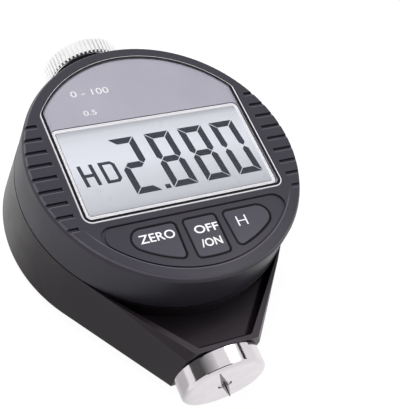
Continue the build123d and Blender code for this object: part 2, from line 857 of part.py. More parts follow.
def battery_cap():
    """The coin-slotted cap, with bayonet tabs on its skirt."""
    cap = post(cap_radius, rear_face_z, cap_inner_z)
    cap = chamfer(cap.edges().group_by(Axis.Z)[0], cap_edge_chamfer)
    skirt = Circle(skirt_outer_radius) - Circle(pocket_radius)
    cap += slab(skirt, cap_inner_z, tab_top_z)
    for index in range(bayonet_count):
        tab = ring_sector(pocket_radius, tab_radius, bayonet_tab_angle, index * 360 / bayonet_count)
        cap += slab(tab, tab_bottom_z, tab_top_z)
    slot = RectangleRounded(cap_slot_length, cap_slot_width, cap_slot_corner_radius)
    return cap - slab(slot, rear_face_z - cut_margin, rear_face_z + cap_slot_depth)


def battery_cap_seal():
    ring = Circle(cap_radius) - Circle(skirt_outer_radius + stop_gap)
    return slab(ring, cap_inner_z, cap_inner_z + cap_seal_thickness)


def battery():
    """A coin cell: the can, stepped in at the end that faces the floor."""
    can = post(battery_radius, battery_z, battery_top_z)
    return chamfer(can.edges().group_by(Axis.Z)[-1], battery_edge_chamfer)


def battery_negative_contact():
    strip = RectangleRounded(battery_radius, contact_width, contact_corner_radius)
    leaf = slab(strip, pocket_roof_z - contact_thickness, pocket_roof_z)
    return leaf + post(contact_dimple_radius, battery_top_z, pocket_roof_z - contact_thickness / 2)


def battery_positive_contact():
    mid_gap = battery_side_gap / 2
    clip = ring_sector(battery_radius + mid_gap - contact_thickness / 2,
                       battery_radius + mid_gap + contact_thickness / 2, contact_clip_angle, 90)
    return slab(clip, tab_top_z + stop_gap, pocket_roof_z - stop_gap)


def window_lens():
    lens = slab(window_outline(window_gap), lens_z, lens_top_z)
    return chamfer(lens.edges().group_by(Axis.Z)[-1], lens_chamfer)


def display_mask():
    sheet = window_outline(window_gap) - frame_outline(frame_clearance / 2)
    return slab(sheet, mask_z, lens_z)


def display_frame():
    """The pale frame that holds the display over the board."""
    outer = slab(frame_outline(0), board_top_z, frame_top_z)
    inner = slab(frame_outline(-frame_band), board_top_z - cut_margin, frame_top_z + cut_margin)
    return outer - inner


def display_glass():
    return slab(frame_outline(-frame_band - stop_gap), display_z, display_z + display_thickness)


def display_reflector():
    return slab(frame_outline(-frame_band - stop_gap), reflector_z, display_z)


def zebra_strips():
    """The two rubber connectors between the board and the display."""
    strips = []
    for y in (frame_top - frame_band - zebra_inset - zebra_width / 2,
              frame_bottom + frame_band + zebra_inset + zebra_width / 2):
        strips.append(slab(Pos(0, y) * Rectangle(zebra_length, zebra_width), board_top_z, reflector_z))
    return Compound(strips)


def main_board():
    board = post(cover_inner_radius - board_edge_gap, board_z, board_top_z)
    for x, y in cover_screw_places():
        board -= post(boss_radius + board_edge_gap, board_z - cut_margin, board_top_z + cut_margin, x, y)
    for x, y in board_screw_places():
        board -= post(small_screw_radius + moulded_gap, board_z - cut_margin, board_top_z + cut_margin, x, y)
    return board


def controller_chip():
    x, y = chip_offset
    return slab(Pos(-x, y) * Rectangle(chip_size, chip_size), board_z - chip_thickness, board_z)


def crystal():
    x, y = chip_offset
    can = Pos(x, head_y + y, board_z - crystal_radius) * Rot(0, 90, 0)
    return can * Cylinder(crystal_radius, crystal_length)


def capacitors():
    length, width, height = capacitor_size
    x, y = chip_offset
    parts = []
    for index in range(capacitor_count):
        offset = (index - (capacitor_count - 1) / 2) * capacitor_pitch
        parts.append(slab(Pos(offset, -y) * Rectangle(length, width), board_z - height, board_z))
    return Compound(parts)


def board_header():
    """The pin block that joins the sensor board to the main board."""
    end_y = sensor_y + sensor_length - header_edge_gap
    return block(header_length, end_y - header_width, end_y, sensor_z + board_thickness, board_z)


def key_mat():
    """The rubber sheet under the keys, cut back beside the cover's bosses."""
    mat = slab(keypad_outline(mat_inset), board_top_z, mat_top_z)
    for x, y in cover_screw_places():
        mat -= post(boss_radius + board_edge_gap, board_top_z - cut_margin, mat_top_z + cut_margin, x, y)
    return mat


def key_dome(x, y):
    dome = Cone(dome_base_radius, dome_top_radius, dome_height)
    return Pos(x, head_y + y, mat_top_z + dome_height / 2) * dome


def key(outline, flange_outline, stem):
    """A keycap with the flange that keeps it in the cover and the stem over its dome."""
    x, y = stem
    cap = slab(outline, key_flange_top_z - stop_gap, key_top_z)
    cap = fillet(cap.edges().group_by(Axis.Z)[-1], key_edge_radius)
    cap += slab(flange_outline, key_flange_z, key_flange_top_z)
    return cap + post(key_stem_radius, key_stem_z, key_flange_top_z, x, y)


def keys():
    """The three keys, from left to right: zero, power and hold."""
    return [key(*parts) for parts in zip(key_outlines(0), key_outlines(key_flange), key_stem_places())]


def domes():
    """The three rubber domes, in the keys' order."""
    return [key_dome(x, y) for x, y in key_stem_places()]


def knob_stud():
    return rod_y(stud_radius, stud_start_y, stud_end_y)


def knob_washer():
    ring = rod_y(washer_radius, washer_y, washer_y + washer_thickness)
    return ring - rod_y(stud_radius + moulded_gap, washer_y - cut_margin, knob_y + cut_margin)


def top_knob():
    """The ribbed knob, with straight grooves cut round its edge."""
    end_y = knob_y + knob_height
    half_groove = knob_groove_share * math.pi * knob_radius / knob_ribs
    groove = make_face(Polyline(
        (knob_radius + knob_rib_depth, half_groove),
        (knob_radius - knob_rib_depth, 0),
        (knob_radius + knob_rib_depth, -half_groove),
        close=True,
    ))
    outline = Circle(knob_radius) - [place * groove for place in PolarLocations(0, knob_ribs)]
    ribbed = Pos(0, end_y, 0) * Rot(90, 0, 0) * extrude(outline, knob_height)
    blank = rod_y(knob_radius, knob_y, end_y)
    blank = chamfer(blank.edges().group_by(Axis.Y)[-1], knob_edge_chamfer)
    blank = chamfer(blank.edges().group_by(Axis.Y)[0], knob_lower_chamfer)
    knob = ribbed & blank
    knob -= rod_y(knob_relief_radius, end_y - knob_relief_depth, end_y + cut_margin)
    return knob - rod_y(stud_radius + running_clearance, knob_y - cut_margin, end_y - knob_cap_wall)


def main():
    zero_key, power_key, hold_key = keys()
    zero_dome, power_dome, hold_dome = domes()
    nodes = {
        "rear_body": rear_body(),
        "front_cover": front_cover(),
        "front_cover_screws": front_cover_screws(),
        "rear_cover": rear_cover(),
        "rear_cover_screws": rear_cover_screws(),
        "battery_cap": battery_cap(),
        "battery_cap_seal": battery_cap_seal(),
        "battery": battery(),
        "battery_negative_contact": battery_negative_contact(),
        "battery_positive_contact": battery_positive_contact(),
        "window_lens": window_lens(),
        "display_mask": display_mask(),
        "display_frame": display_frame(),
        "display_glass": display_glass(),
        "display_reflector": display_reflector(),
        "zebra_strips": zebra_strips(),
        "main_board": main_board(),
        "main_board_screws": small_screws(board_screw_places(), board_z, True),
        "controller_chip": controller_chip(),
        "crystal": crystal(),
        "capacitors": capacitors(),
        "board_header": board_header(),
        "key_mat": key_mat(),
        "zero_dome": zero_dome,
        "power_dome": power_dome,
        "hold_dome": hold_dome,
        "zero_key": zero_key,
        "power_key": power_key,
        "hold_key": hold_key,
        "presser_foot": presser_foot(),
        "foot_lock_screw": foot_lock_screw(),
        "indenter": indenter(),
        "spindle": spindle(),
        "spring_collar": spring_collar(),
        "measuring_spring": measuring_spring(),
        "spring_adjuster": spring_adjuster(),
        "lower_bush": bush(lower_bush_y, lower_bush_length),
        "upper_bush": bush(upper_bush_y, upper_bush_length),
        "scale_carrier": scale_carrier(),
        "carrier_screws": carrier_screws(),
        "scale_strip": scale_strip(),
        "guide_pin": guide_pin(),
        "guide_rail": guide_rail(),
        "sensor_board": sensor_board(),
        "sensor_board_screws": small_screws(sensor_post_places(), sensor_z + board_thickness, False),
        "knob_stud": knob_stud(),
        "knob_washer": knob_washer(),
        "top_knob": top_knob(),
    }
    os.makedirs("parts", exist_ok=True)
    for name, shape in nodes.items():
        export_step(shape, f"parts/{name}.step")


main()
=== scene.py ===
"""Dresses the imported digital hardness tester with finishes, print, metalwork and a stage."""

import math

import bmesh
import bpy
from bpy.props import (FloatProperty, FloatVectorProperty, IntProperty, PointerProperty,
                       StringProperty)
from bpy.types import Operator, Panel, PropertyGroup
from mathutils import Matrix, Vector
from mathutils.geometry import convex_hull_2d


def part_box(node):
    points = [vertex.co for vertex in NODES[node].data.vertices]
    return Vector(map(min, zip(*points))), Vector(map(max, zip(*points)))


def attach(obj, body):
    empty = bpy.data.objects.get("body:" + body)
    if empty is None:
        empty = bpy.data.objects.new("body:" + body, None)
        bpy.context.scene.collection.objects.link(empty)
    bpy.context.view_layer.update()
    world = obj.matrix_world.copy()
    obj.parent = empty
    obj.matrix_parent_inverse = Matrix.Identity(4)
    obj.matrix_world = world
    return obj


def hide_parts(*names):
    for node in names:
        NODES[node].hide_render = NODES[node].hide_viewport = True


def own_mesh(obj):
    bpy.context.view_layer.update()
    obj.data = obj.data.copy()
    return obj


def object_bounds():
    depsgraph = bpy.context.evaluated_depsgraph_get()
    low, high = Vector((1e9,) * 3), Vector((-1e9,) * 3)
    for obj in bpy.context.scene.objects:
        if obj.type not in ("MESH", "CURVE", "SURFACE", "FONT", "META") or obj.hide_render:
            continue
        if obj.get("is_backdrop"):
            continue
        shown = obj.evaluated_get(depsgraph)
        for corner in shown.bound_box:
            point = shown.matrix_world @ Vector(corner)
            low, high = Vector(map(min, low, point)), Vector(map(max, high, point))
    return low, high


bl_info = {
    "name": "Digital Durometer",
    "version": (1, 0, 0),
    "blender": (4, 5, 0),
    "location": "View3D > Sidebar > Durometer",
    "description": "Dresses the packed hardness tester with finishes, lettering and a studio stage",
    "category": "Object",
}

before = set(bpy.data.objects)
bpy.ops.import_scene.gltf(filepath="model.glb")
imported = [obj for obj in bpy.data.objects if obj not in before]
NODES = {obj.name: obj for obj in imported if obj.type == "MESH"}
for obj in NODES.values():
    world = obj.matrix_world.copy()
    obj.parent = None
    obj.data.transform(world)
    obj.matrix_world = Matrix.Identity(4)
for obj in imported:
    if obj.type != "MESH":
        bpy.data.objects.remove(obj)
MM = 0.001
FACE_LOW, FACE_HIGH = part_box("front_cover")
HEAD_Y = (FACE_LOW + FACE_HIGH).y / 2
SHARP_ANGLE = math.radians(32)
PRINT_ROOT = 0.02 * MM  # how deep print starts under its surface
PRINT_HEIGHT = 0.012 * MM
KEYS = ("zero_key", "power_key", "hold_key")
WHITE = (1, 1, 1, 1)


# Settings


def screen_colour(red, green, blue):
    """The linear colour that shows as these screen values from 0 to 255."""
    return tuple(((value / 255 + 0.055) / 1.055) ** 2.4 for value in (red, green, blue))


def length(name, description, millimetres, least=0.0):
    return FloatProperty(name=name, description=description, default=millimetres * MM, min=least,
                         unit="LENGTH", precision=5)


def angle(name, description, degrees):
    return FloatProperty(name=name, description=description, default=math.radians(degrees),
                         subtype="ANGLE")


def share(name, description, default):
    return FloatProperty(name=name, description=description, default=default, min=0, max=1,
                         subtype="FACTOR")


def power(name, description, watts):
    return FloatProperty(name=name, description=description, default=watts, min=0)


def words(name, description, default):
    return StringProperty(name=name, description=description, default=default)


def colour(name, description, red, green, blue):
    return FloatVectorProperty(name=name, description=description, size=3, min=0, max=1,
                               default=screen_colour(red, green, blue), subtype="COLOR")


class HousingSettings(PropertyGroup):
    body_colour: colour("Body", "Colour of the rear housing", 17, 13, 16)
    cover_colour: colour("Cover", "Colour of the front housing", 44, 42, 50)
    grain_size: length("Grain size", "Width of one grain of the moulded texture", 0.22)
    grain_depth: length("Grain depth", "Depth of the moulded texture", 0.004)
    body_roughness: share("Body roughness", "Roughness of the rear housing", 0.36)
    cover_roughness: share("Cover roughness", "Roughness of the front housing", 0.46)


class WindowSettings(PropertyGroup):
    half_width: length("Half width", "Half the window's width", 22.3)
    bottom: length("Bottom", "The window's lower edge, from the head's centre", -12.2,
                   least=-1.0)
    arc_radius: length("Arc radius", "Radius of the window's upper arc", 26.6)
    corner_radius: length("Corner radius", "Radius of the window's corners", 2.0)
    # The bright rim is a painted highlight, standing for the lit chamfer of the lens's edge.
    highlight_rim_width: length("Rim width", "Width of the bright rim at the sides and below", 0.38)
    # The dark line is painted shade, standing for the shadowed gap between the lens's edge and the
    # frame.
    line_width: length("Line width", "Width of the dark printed line inside the rim", 0.52)
    arc_share: share("Arc share", "Width of rim and line at the arc, as a share of the rest", 0.45)
    plate_colour: colour("Plate", "Colour of the plate behind the window", 178, 176, 189)
    range_words: words("Range", "The printed measuring range", "0 - 100")
    step_words: words("Step", "The printed resolution", "0.5")


class DisplaySettings(PropertyGroup):
    reading: words("Reading", "The large figures", "2880")
    unit_words: words("Unit", "The small figures beside the reading", "HD")
    cell_colour: colour("Cell", "Colour of the display cell", 236, 238, 248)
    ink_colour: colour("Ink", "Colour of the lit segments", 60, 62, 74)
    digit_width: length("Digit width", "Width of a large digit", 5.55)
    digit_height: length("Digit height", "Height of a large digit", 13.7)
    stroke: length("Stroke", "Width of a segment", 1.42)
    gap: length("Gap", "Gap between two segments", 0.12)
    lean: angle("Lean", "Lean of the digits and of the unit", 5.6)


class KeypadSettings(PropertyGroup):
    key_colour: colour("Key", "Colour of the rubber keys", 55, 54, 64)
    # The dark line round a key is painted shade, standing for the shadow in the gap.
    gap_shade_width: length("Key gap", "Width of the dark line round a key", 0.42)
    legend_colour: colour("Legend", "Colour of the printed legends", 236, 236, 240)
    left_words: words("Left key", "Legend of the left key", "ZERO")
    middle_upper_words: words("Middle key, upper", "Upper legend of the middle key", "OFF")
    middle_lower_words: words("Middle key, lower", "Lower legend of the middle key", "/ON")
    right_words: words("Right key", "Legend of the right key", "H")
    print_height: length("Print height", "Height of the printed legend over its key", 0.02)


class MetalSettings(PropertyGroup):
    rib_count: IntProperty(name="Ribs", description="Number of ribs round the knob", default=56,
                           min=12, max=120)
    rib_height: length("Rib height", "How far a rib stands out", 0.45)
    rib_share: share("Rib share", "Share of the pitch that a rib takes", 0.8)
    chrome_roughness: share("Chrome roughness", "Roughness of the plated foot", 0.09)
    knob_roughness: share("Knob roughness", "Roughness of the knob", 0.24)
    recess_length: length("Recess length", "Length of the cross recess in a screw", 2.3)
    recess_width: length("Recess width", "Width of the cross recess in a screw", 0.5)
    recess_depth: length("Recess depth", "Depth of the cross recess in a screw", 0.6)


class StageSettings(PropertyGroup):
    key_power: power("Key light", "Power of the light overhead, in watts", 2.95)
    fill_power: power("Fill light", "Power of the light beside the camera, in watts", 0.2)
    surround: share("Surround", "Brightness of the studio's walls", 0.3)
    shadow_strength: share("Shadow", "How strongly the floor takes the shadow", 0.12)
    focal_length: FloatProperty(name="Lens", description="Focal length for a 36 mm sensor",
                                default=90.93, min=1, unit="CAMERA")


# Meshes


def show(made):
    bpy.context.scene.collection.objects.link(made)
    return made


def settle(name, mesh, material, sharp=SHARP_ANGLE, merge=1e-8):
    """One object from a mesh: points merged, normals outward, and edges sharp over an angle."""
    shape = bmesh.new()
    shape.from_mesh(mesh)
    bmesh.ops.remove_doubles(shape, verts=shape.verts, dist=merge)
    bmesh.ops.recalc_face_normals(shape, faces=shape.faces)
    for face in shape.faces:
        face.smooth = True
    for edge in shape.edges:
        edge.smooth = edge.is_manifold and edge.calc_face_angle(math.pi) < sharp
    shape.to_mesh(mesh)
    shape.free()
    mesh.materials.clear()
    mesh.materials.append(material)
    return show(bpy.data.objects.new(name, mesh))


def settle_on(piece, body, slot, *replaced):
    """Puts a finished piece on its body and hides the nodes that it stands for. The slot is not
    used.
    """
    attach(piece, body)
    if replaced:
        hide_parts(*replaced)


def add_mesh(name, points, faces, material, sharp=SHARP_ANGLE):
    """One object from points in metres."""
    mesh = bpy.data.meshes.new(name)
    mesh.from_pydata([tuple(point) for point in points], [], faces)
    return settle(name, mesh, material, sharp)


def evaluated_mesh(piece, *others):
    """The plain mesh of a piece with its modifiers, after which the objects are removed."""
    graph = bpy.context.evaluated_depsgraph_get()
    mesh = bpy.data.meshes.new_from_object(piece.evaluated_get(graph))
    for scrap in (piece, *others):
        bpy.data.objects.remove(scrap)
    return mesh


def arc(centre, radius, start, end, steps):
    """Points on an arc, from the angle start to the angle end."""
    angles = [start + (end - start) * step / steps for step in range(steps + 1)]
    return [(centre[0] + radius * math.cos(a), centre[1] + radius * math.sin(a)) for a in angles]


def window_outline(half_width, bottom, arc_radius, corner_radius, inset, arc_inset, steps=10):
    """A straight-sided window under an arc, drawn anticlockwise about the head's centre."""
    side, low, top = half_width - inset, bottom + inset, arc_radius - arc_inset
    corner = max(corner_radius - inset, 0.2 * MM)
    lift = math.sqrt((top - corner) ** 2 - (side - corner) ** 2)
    turn = math.atan2(lift, side - corner)
    points = arc((side - corner, low + corner), corner, -math.pi / 2, 0, steps)
    points += arc((side - corner, lift), corner, 0, turn, steps)
    points += arc((0, 0), top, turn, math.pi - turn, 6 * steps)[1:-1]
    points += arc((corner - side, lift), corner, math.pi - turn, math.pi, steps)
    points += arc((corner - side, low + corner), corner, math.pi, 1.5 * math.pi, steps)
    return points


def box_outline(left, right, low, high, corner, steps=8):
    """A rectangle with rounded corners, drawn anticlockwise about the head's centre."""
    centres = ((right, low, -1, 1), (right, high, -1, -1), (left, high, 1, -1), (left, low, 1, 1))
    points = []
    for quarter, (x, y, inward, upward) in enumerate(centres, -1):
        start = quarter * math.pi / 2
        centre = (x + inward * corner, y + upward * corner)
        points += arc(centre, corner, start, start + math.pi / 2, steps)
    return points


def on_head(points, z):
    return [Vector((x, y + HEAD_Y, z)) for x, y in points]


def key_outline(node, growth):
    """The outline of a key's top, drawn anticlockwise and grown outward."""
    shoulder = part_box(node)[1].z - 0.5 * MM
    points = [vertex.co.xy for vertex in NODES[node].data.vertices if vertex.co.z > shoulder]
    hull = [points[index] for index in convex_hull_2d(points)]
    if sum(point.cross(hull[index - 1]) for index, point in enumerate(hull)) > 0:
        hull.reverse()
    least = 0.01 * MM
    hull = [point for index, point in enumerate(hull) if (point - hull[index - 1]).length > least]
    grown = []
    for index, point in enumerate(hull):
        before = (point - hull[index - 1]).normalized()
        after = (hull[(index + 1) % len(hull)] - point).normalized()
        outward = Vector((before.y + after.y, -before.x - after.x)).normalized()
        square = outward.dot(Vector((before.y, -before.x)))
        grown.append(point + outward * growth / max(0.5, square))
    return grown


def tube_faces(count, rows, first=0, ring=False):
    """Faces through rows of count points, closed by flat ends, or as a ring without ends."""
    last = first + (rows - 1) * count
    ends = [tuple(range(first + count - 1, first - 1, -1)), tuple(range(last, last + count))]
    faces = [] if ring else ends
    for row in range(rows if ring else rows - 1):
        here, following = first + row * count, first + (row + 1) % rows * count
        for step in range(count):
            after = (step + 1) % count
            faces.append((here + step, here + after, following + after, following + step))
    return faces


def ring_piece(name, loops, material, sharp=SHARP_ANGLE):
    """A closed ring through loops of equal length, the last joined to the first."""
    points = [point for loop in loops for point in loop]
    faces = tube_faces(len(loops[0]), len(loops), ring=True)
    return add_mesh(name, points, faces, material, sharp)


def prisms_piece(name, outlines, low, high, material):
    """One piece of flat prisms, each standing on its own outline."""
    points, faces = [], []
    for outline in outlines:
        faces += tube_faces(len(outline), 2, first=len(points))
        points += on_head(outline, low) + on_head(outline, high)
    return add_mesh(name, points, faces, material)


def turned_loops(profile, axis="Y", steps=96):
    """One loop of points about the axis for each (radius, height) pair of a profile."""
    loops = []
    for radius, height in profile:
        circle = arc((0, 0), radius, 0, 2 * math.pi, steps)[:-1]
        loops.append([(x, height, z) if axis == "Y" else (x, z, height) for x, z in circle])
    return loops


def lathe(name, profile, material, axis="Y", steps=96):
    """A turned piece, closed flat at both ends of its profile."""
    points = [point for loop in turned_loops(profile, axis, steps) for point in loop]
    return add_mesh(name, points, tube_faces(steps, len(profile)), material)


def words_piece(name, text, spot, levels, material, weight=0.0):
    """Lettering as flat closed prisms. Spot is its left, right, base line and height in mm."""
    left, right, base, height = (value * MM for value in spot)
    curve = bpy.data.curves.new(name, "FONT")
    curve.body = text
    curve.fill_mode = "BOTH"
    curve.extrude = 0.5
    curve.offset = weight
    curve.resolution_u = 6
    mesh = evaluated_mesh(show(bpy.data.objects.new(name + "_text", curve)))
    xs, ys = ([v.co[axis] for v in mesh.vertices] for axis in (0, 1))
    start, width, foot, rise = min(xs), max(xs) - min(xs), min(ys), max(ys) - min(ys)
    for v in mesh.vertices:
        across, up = (v.co.x - start) / width, (v.co.y - foot) / rise
        level = levels[0] if v.co.z < 0 else levels[1]
        v.co = (left + (right - left) * across, HEAD_Y + base + height * up, level)
    return settle(name, mesh, material)


# Finishes


def shader_of(material):
    return material.node_tree.nodes["Principled BSDF"]


def new_finish(name, tint, roughness, metallic=0.0, **sockets):
    """A material whose even values stand on the shader's own sockets."""
    material = bpy.data.materials.new(name)
    material.use_nodes = True
    values = {"Base Color": (*tint, 1), "Roughness": roughness, "Metallic": metallic, **sockets}
    for socket, value in values.items():
        shader_of(material).inputs[socket.replace("_", " ")].default_value = value
    return material


def add_node(owner, kind, inputs=None, **settings):
    """A node of a material, world or tree, with settings, and values or links for its inputs."""
    tree = getattr(owner, "node_tree", owner)
    made = tree.nodes.new(kind)
    for setting, value in settings.items():
        setattr(made, setting, value)
    for socket, value in (inputs or {}).items():
        if isinstance(value, bpy.types.NodeSocket):
            tree.links.new(value, made.inputs[socket])
        else:
            made.inputs[socket].default_value = value
    return made


def maths(owner, operation, *values):
    made = add_node(owner, "ShaderNodeMath", dict(enumerate(values)), operation=operation)
    return made.outputs["Value"]


def span(owner, value, low, high, to_low=0.0, to_high=1.0, **settings):
    """The value, taken from the range low to high to the range to_low to to_high."""
    inputs = {"Value": value, "From Min": low, "From Max": high,
              "To Min": to_low, "To Max": to_high}
    return add_node(owner, "ShaderNodeMapRange", inputs, **settings).outputs["Result"]


def object_place(material):
    return add_node(material, "ShaderNodeTexCoord").outputs["Object"]


def mapped(material, scale=(1, 1, 1), location=(0, 0, 0), turn=0.0, kind="POINT"):
    """Coordinates in the piece's own space, stretched, moved and turned about Z."""
    inputs = {"Vector": object_place(material), "Scale": scale, "Location": location,
              "Rotation": (0, 0, turn)}
    return add_node(material, "ShaderNodeMapping", inputs, vector_type=kind).outputs["Vector"]


def axis_distance(material, vector):
    """The vector's distance from the Z axis."""
    inputs = {0: vector, 1: (1, 1, 0)}
    flat = add_node(material, "ShaderNodeVectorMath", inputs, operation="MULTIPLY")
    inputs = {0: flat.outputs["Vector"]}
    return add_node(material, "ShaderNodeVectorMath", inputs, operation="LENGTH").outputs["Value"]


def along(material, axis):
    """The place along one axis."""
    parts = add_node(material, "ShaderNodeSeparateXYZ", {"Vector": object_place(material)})
    return parts.outputs[axis]


def noise(material, size, scale=(1, 1, 1), detail=3.0):
    """Noise whose spots are about size metres wide."""
    inputs = {"Vector": mapped(material, scale), "Scale": 1 / size, "Detail": detail}
    return add_node(material, "ShaderNodeTexNoise", inputs).outputs["Fac"]


def ramp(material, value, *stops):
    """A colour ramp through (position, colour) stops."""
    made = add_node(material, "ShaderNodeValToRGB", {"Fac": value})
    while len(made.color_ramp.elements) < len(stops):
        made.color_ramp.elements.new(0.5)
    for element, (position, tint) in zip(made.color_ramp.elements, stops):
        element.position = position
        element.color = (*tint, 1)
    return made.outputs["Color"]


def link(material, output, socket):
    material.node_tree.links.new(output, shader_of(material).inputs[socket])


def scaled(tint, factor):
    return tuple(min(1.0, part * factor) for part in tint)


def mottle(material, size, change):
    """Lets the colour drift a little from place to place."""
    tint = tuple(shader_of(material).inputs["Base Color"].default_value)[:3]
    stops = ((0.3, scaled(tint, 1 - change)), (0.7, scaled(tint, 1 + change)))
    link(material, ramp(material, noise(material, size), *stops), "Base Color")


def uneven_gloss(material, size, change):
    """Lets the roughness drift, as handling and moulding leave it."""
    middle = shader_of(material).inputs["Roughness"].default_value
    ends = (max(0.02, middle - change), middle + change)
    link(material, span(material, noise(material, size), 0.3, 0.7, *ends), "Roughness")


def grained(material, size, depth):
    """Gives the surface a fine relief."""
    inputs = {"Height": noise(material, size), "Distance": depth, "Strength": 1.0}
    link(material, add_node(material, "ShaderNodeBump", inputs).outputs["Normal"], "Normal")


def moulded(name, tint, roughness, grain_size, grain_depth, **sockets):
    """Spark-textured moulded plastic or rubber."""
    material = new_finish(name, tint, roughness, **sockets)
    mottle(material, size=9 * MM, change=0.06)
    uneven_gloss(material, size=6 * MM, change=0.03)
    grained(material, grain_size, grain_depth)
    return material


def turned(name, tint, roughness, mark_size=0.12 * MM, mark_depth=0.001 * MM):
    """Turned or plated metal, with fine uneven marks."""
    material = new_finish(name, tint, roughness, metallic=1.0)
    mottle(material, size=3 * MM, change=0.04)
    uneven_gloss(material, size=2 * MM, change=0.03)
    grained(material, mark_size, mark_depth)
    return material


def printed(name, tint, roughness, size, change, **sockets):
    """Even ink or paint, with a slight drift of colour."""
    material = new_finish(name, tint, roughness, **sockets)
    mottle(material, size, change)
    return material


def painted_edge_highlights(material):
    """Paints highlights on the face's rim, the key field's lower rim and the notches' lower edges.
    """
    spot = mapped(material, scale=[1 / MM] * 3, location=(0, -HEAD_Y / MM, 0))
    parts = add_node(material, "ShaderNodeSeparateXYZ", {"Vector": spot}).outputs
    radius = axis_distance(material, spot)
    sideways = maths(material, "ABSOLUTE", parts["X"])
    lowest, pitch = -13.105, 3.07
    notches = span(material, parts["Y"], lowest, lowest + pitch, clamp=False)
    step = maths(material, "FRACT", notches)
    # in mm from the head's centre, and in pitches: a value, where it is unlit and where lit
    face = (parts["Z"], 18.1, 18.25)
    rim = ((radius, 28.42, 28.5), (radius, 28.75, 28.68))
    field = ((radius, 26.3, 26.36), (radius, 26.6, 26.5), (parts["Y"], -13.0, -16.0))
    edges = ((step, 0.93, 0.95), (sideways, 23.5, 23.6), (notches, -0.09, -0.07),
             (notches, 8.02, 8.0))
    lit = 0.0
    for band in (rim, field, edges):
        share_lit = 1.0
        for value, dark, light in band:
            share_lit = maths(material, "MULTIPLY", share_lit, span(material, value, dark, light))
        lit = maths(material, "MAXIMUM", lit, share_lit)
    lit = maths(material, "MULTIPLY", lit, span(material, *face))
    base = shader_of(material).inputs["Base Color"].links[0].from_socket
    # painted highlight: the colour added to the cover where its rims and notch edges would catch the
    # light
    painted_highlight = ramp(material, lit, (0, (0, 0, 0)), (1, (0.062, 0.058, 0.068)))
    mixed = add_node(material, "ShaderNodeMix", {0: 1.0, 6: base, 7: painted_highlight},
                     data_type="RGBA", blend_type="ADD")
    link(material, mixed.outputs[2], "Base Color")


def dress(material, *nodes):
    """Gives CAD nodes their finish."""
    for node in nodes:
        mesh = NODES[node].data
        mesh.materials.clear()
        mesh.materials.append(material)


# Repeated pieces


def repeating_tree(name, inputs):
    """A tree with a geometry output, and inputs for geometry, the named values and a material."""
    tree = bpy.data.node_groups.new(name, "GeometryNodeTree")
    tree.interface.new_socket("Geometry", in_out="INPUT", socket_type="NodeSocketGeometry")
    for label, default in inputs.items():
        kind = "NodeSocketInt" if isinstance(default, int) else "NodeSocketFloat"
        tree.interface.new_socket(label, in_out="INPUT", socket_type=kind).default_value = default
    tree.interface.new_socket("Material", in_out="INPUT", socket_type="NodeSocketMaterial")
    tree.interface.new_socket("Geometry", in_out="OUTPUT", socket_type="NodeSocketGeometry")
    return tree, add_node(tree, "NodeGroupInput").outputs


def place_copies(tree, given, points, **placing):
    """Puts the given geometry on the points, realizes the copies and gives them their material."""
    inputs = {"Points": points.outputs[0], "Instance": given["Geometry"], **placing}
    copies = add_node(tree, "GeometryNodeInstanceOnPoints", inputs).outputs["Instances"]
    real = add_node(tree, "GeometryNodeRealizeInstances", {"Geometry": copies}).outputs["Geometry"]
    inputs = {"Geometry": real, "Material": given["Material"]}
    painted = add_node(tree, "GeometryNodeSetMaterial", inputs).outputs["Geometry"]
    add_node(tree, "NodeGroupOutput", {"Geometry": painted})


def grow(piece, tree, values):
    """Runs a tree on a piece with values for its named inputs, and returns the plain mesh."""
    modifier = piece.modifiers.new("Repeat", "NODES")
    modifier.node_group = tree
    for item in tree.interface.items_tree:
        if item.in_out == "INPUT" and item.name in values:
            modifier[item.identifier] = values[item.name]
    return evaluated_mesh(piece)


def repeat_round(piece, count, material):
    """Copies of a piece turned about the measuring axis."""
    values = {"Count": count, "Start Angle": 0.0, "Seed": 1}
    tree, given = repeating_tree("Copies round the axis", values)
    index = add_node(tree, "GeometryNodeInputIndex").outputs["Index"]
    part = maths(tree, "DIVIDE", index, given["Count"])
    turn = maths(tree, "MULTIPLY_ADD", part, 2 * math.pi, given["Start Angle"])
    rotation = add_node(tree, "ShaderNodeCombineXYZ", {"Y": turn}).outputs["Vector"]
    points = add_node(tree, "GeometryNodePoints", {"Count": given["Count"]})
    place_copies(tree, given, points, Rotation=rotation)
    return grow(piece, tree, {**values, "Material": material})


def repeat_in_four(piece, radius, upper, lower, material):
    """Copies at two upper and two lower places on a circle about the head's centre."""
    values = {"Circle Radius": radius, "Upper Angle": upper, "Lower Angle": lower,
              "Centre Height": HEAD_Y, "Seed": 1}
    tree, given = repeating_tree("Copies at four corners", values)
    index = add_node(tree, "GeometryNodeInputIndex").outputs["Index"]
    row = maths(tree, "GREATER_THAN", index, 1.5)
    side = maths(tree, "MULTIPLY_ADD", maths(tree, "MODULO", index, 2.0), 2.0, -1.0)
    up = maths(tree, "MULTIPLY_ADD", row, 2.0, -1.0)
    change = maths(tree, "SUBTRACT", given["Upper Angle"], given["Lower Angle"])
    slope = maths(tree, "MULTIPLY_ADD", row, change, given["Lower Angle"])
    across = maths(tree, "MULTIPLY", given["Circle Radius"], maths(tree, "COSINE", slope))
    above = maths(tree, "MULTIPLY", given["Circle Radius"], maths(tree, "SINE", slope))
    spot = {"X": maths(tree, "MULTIPLY", side, across),
            "Y": maths(tree, "MULTIPLY_ADD", up, above, given["Centre Height"])}
    spot = add_node(tree, "ShaderNodeCombineXYZ", spot).outputs["Vector"]
    points = add_node(tree, "GeometryNodePoints", {"Count": 4, "Position": spot})
    place_copies(tree, given, points)
    return grow(piece, tree, {**values, "Material": material})


# Operators


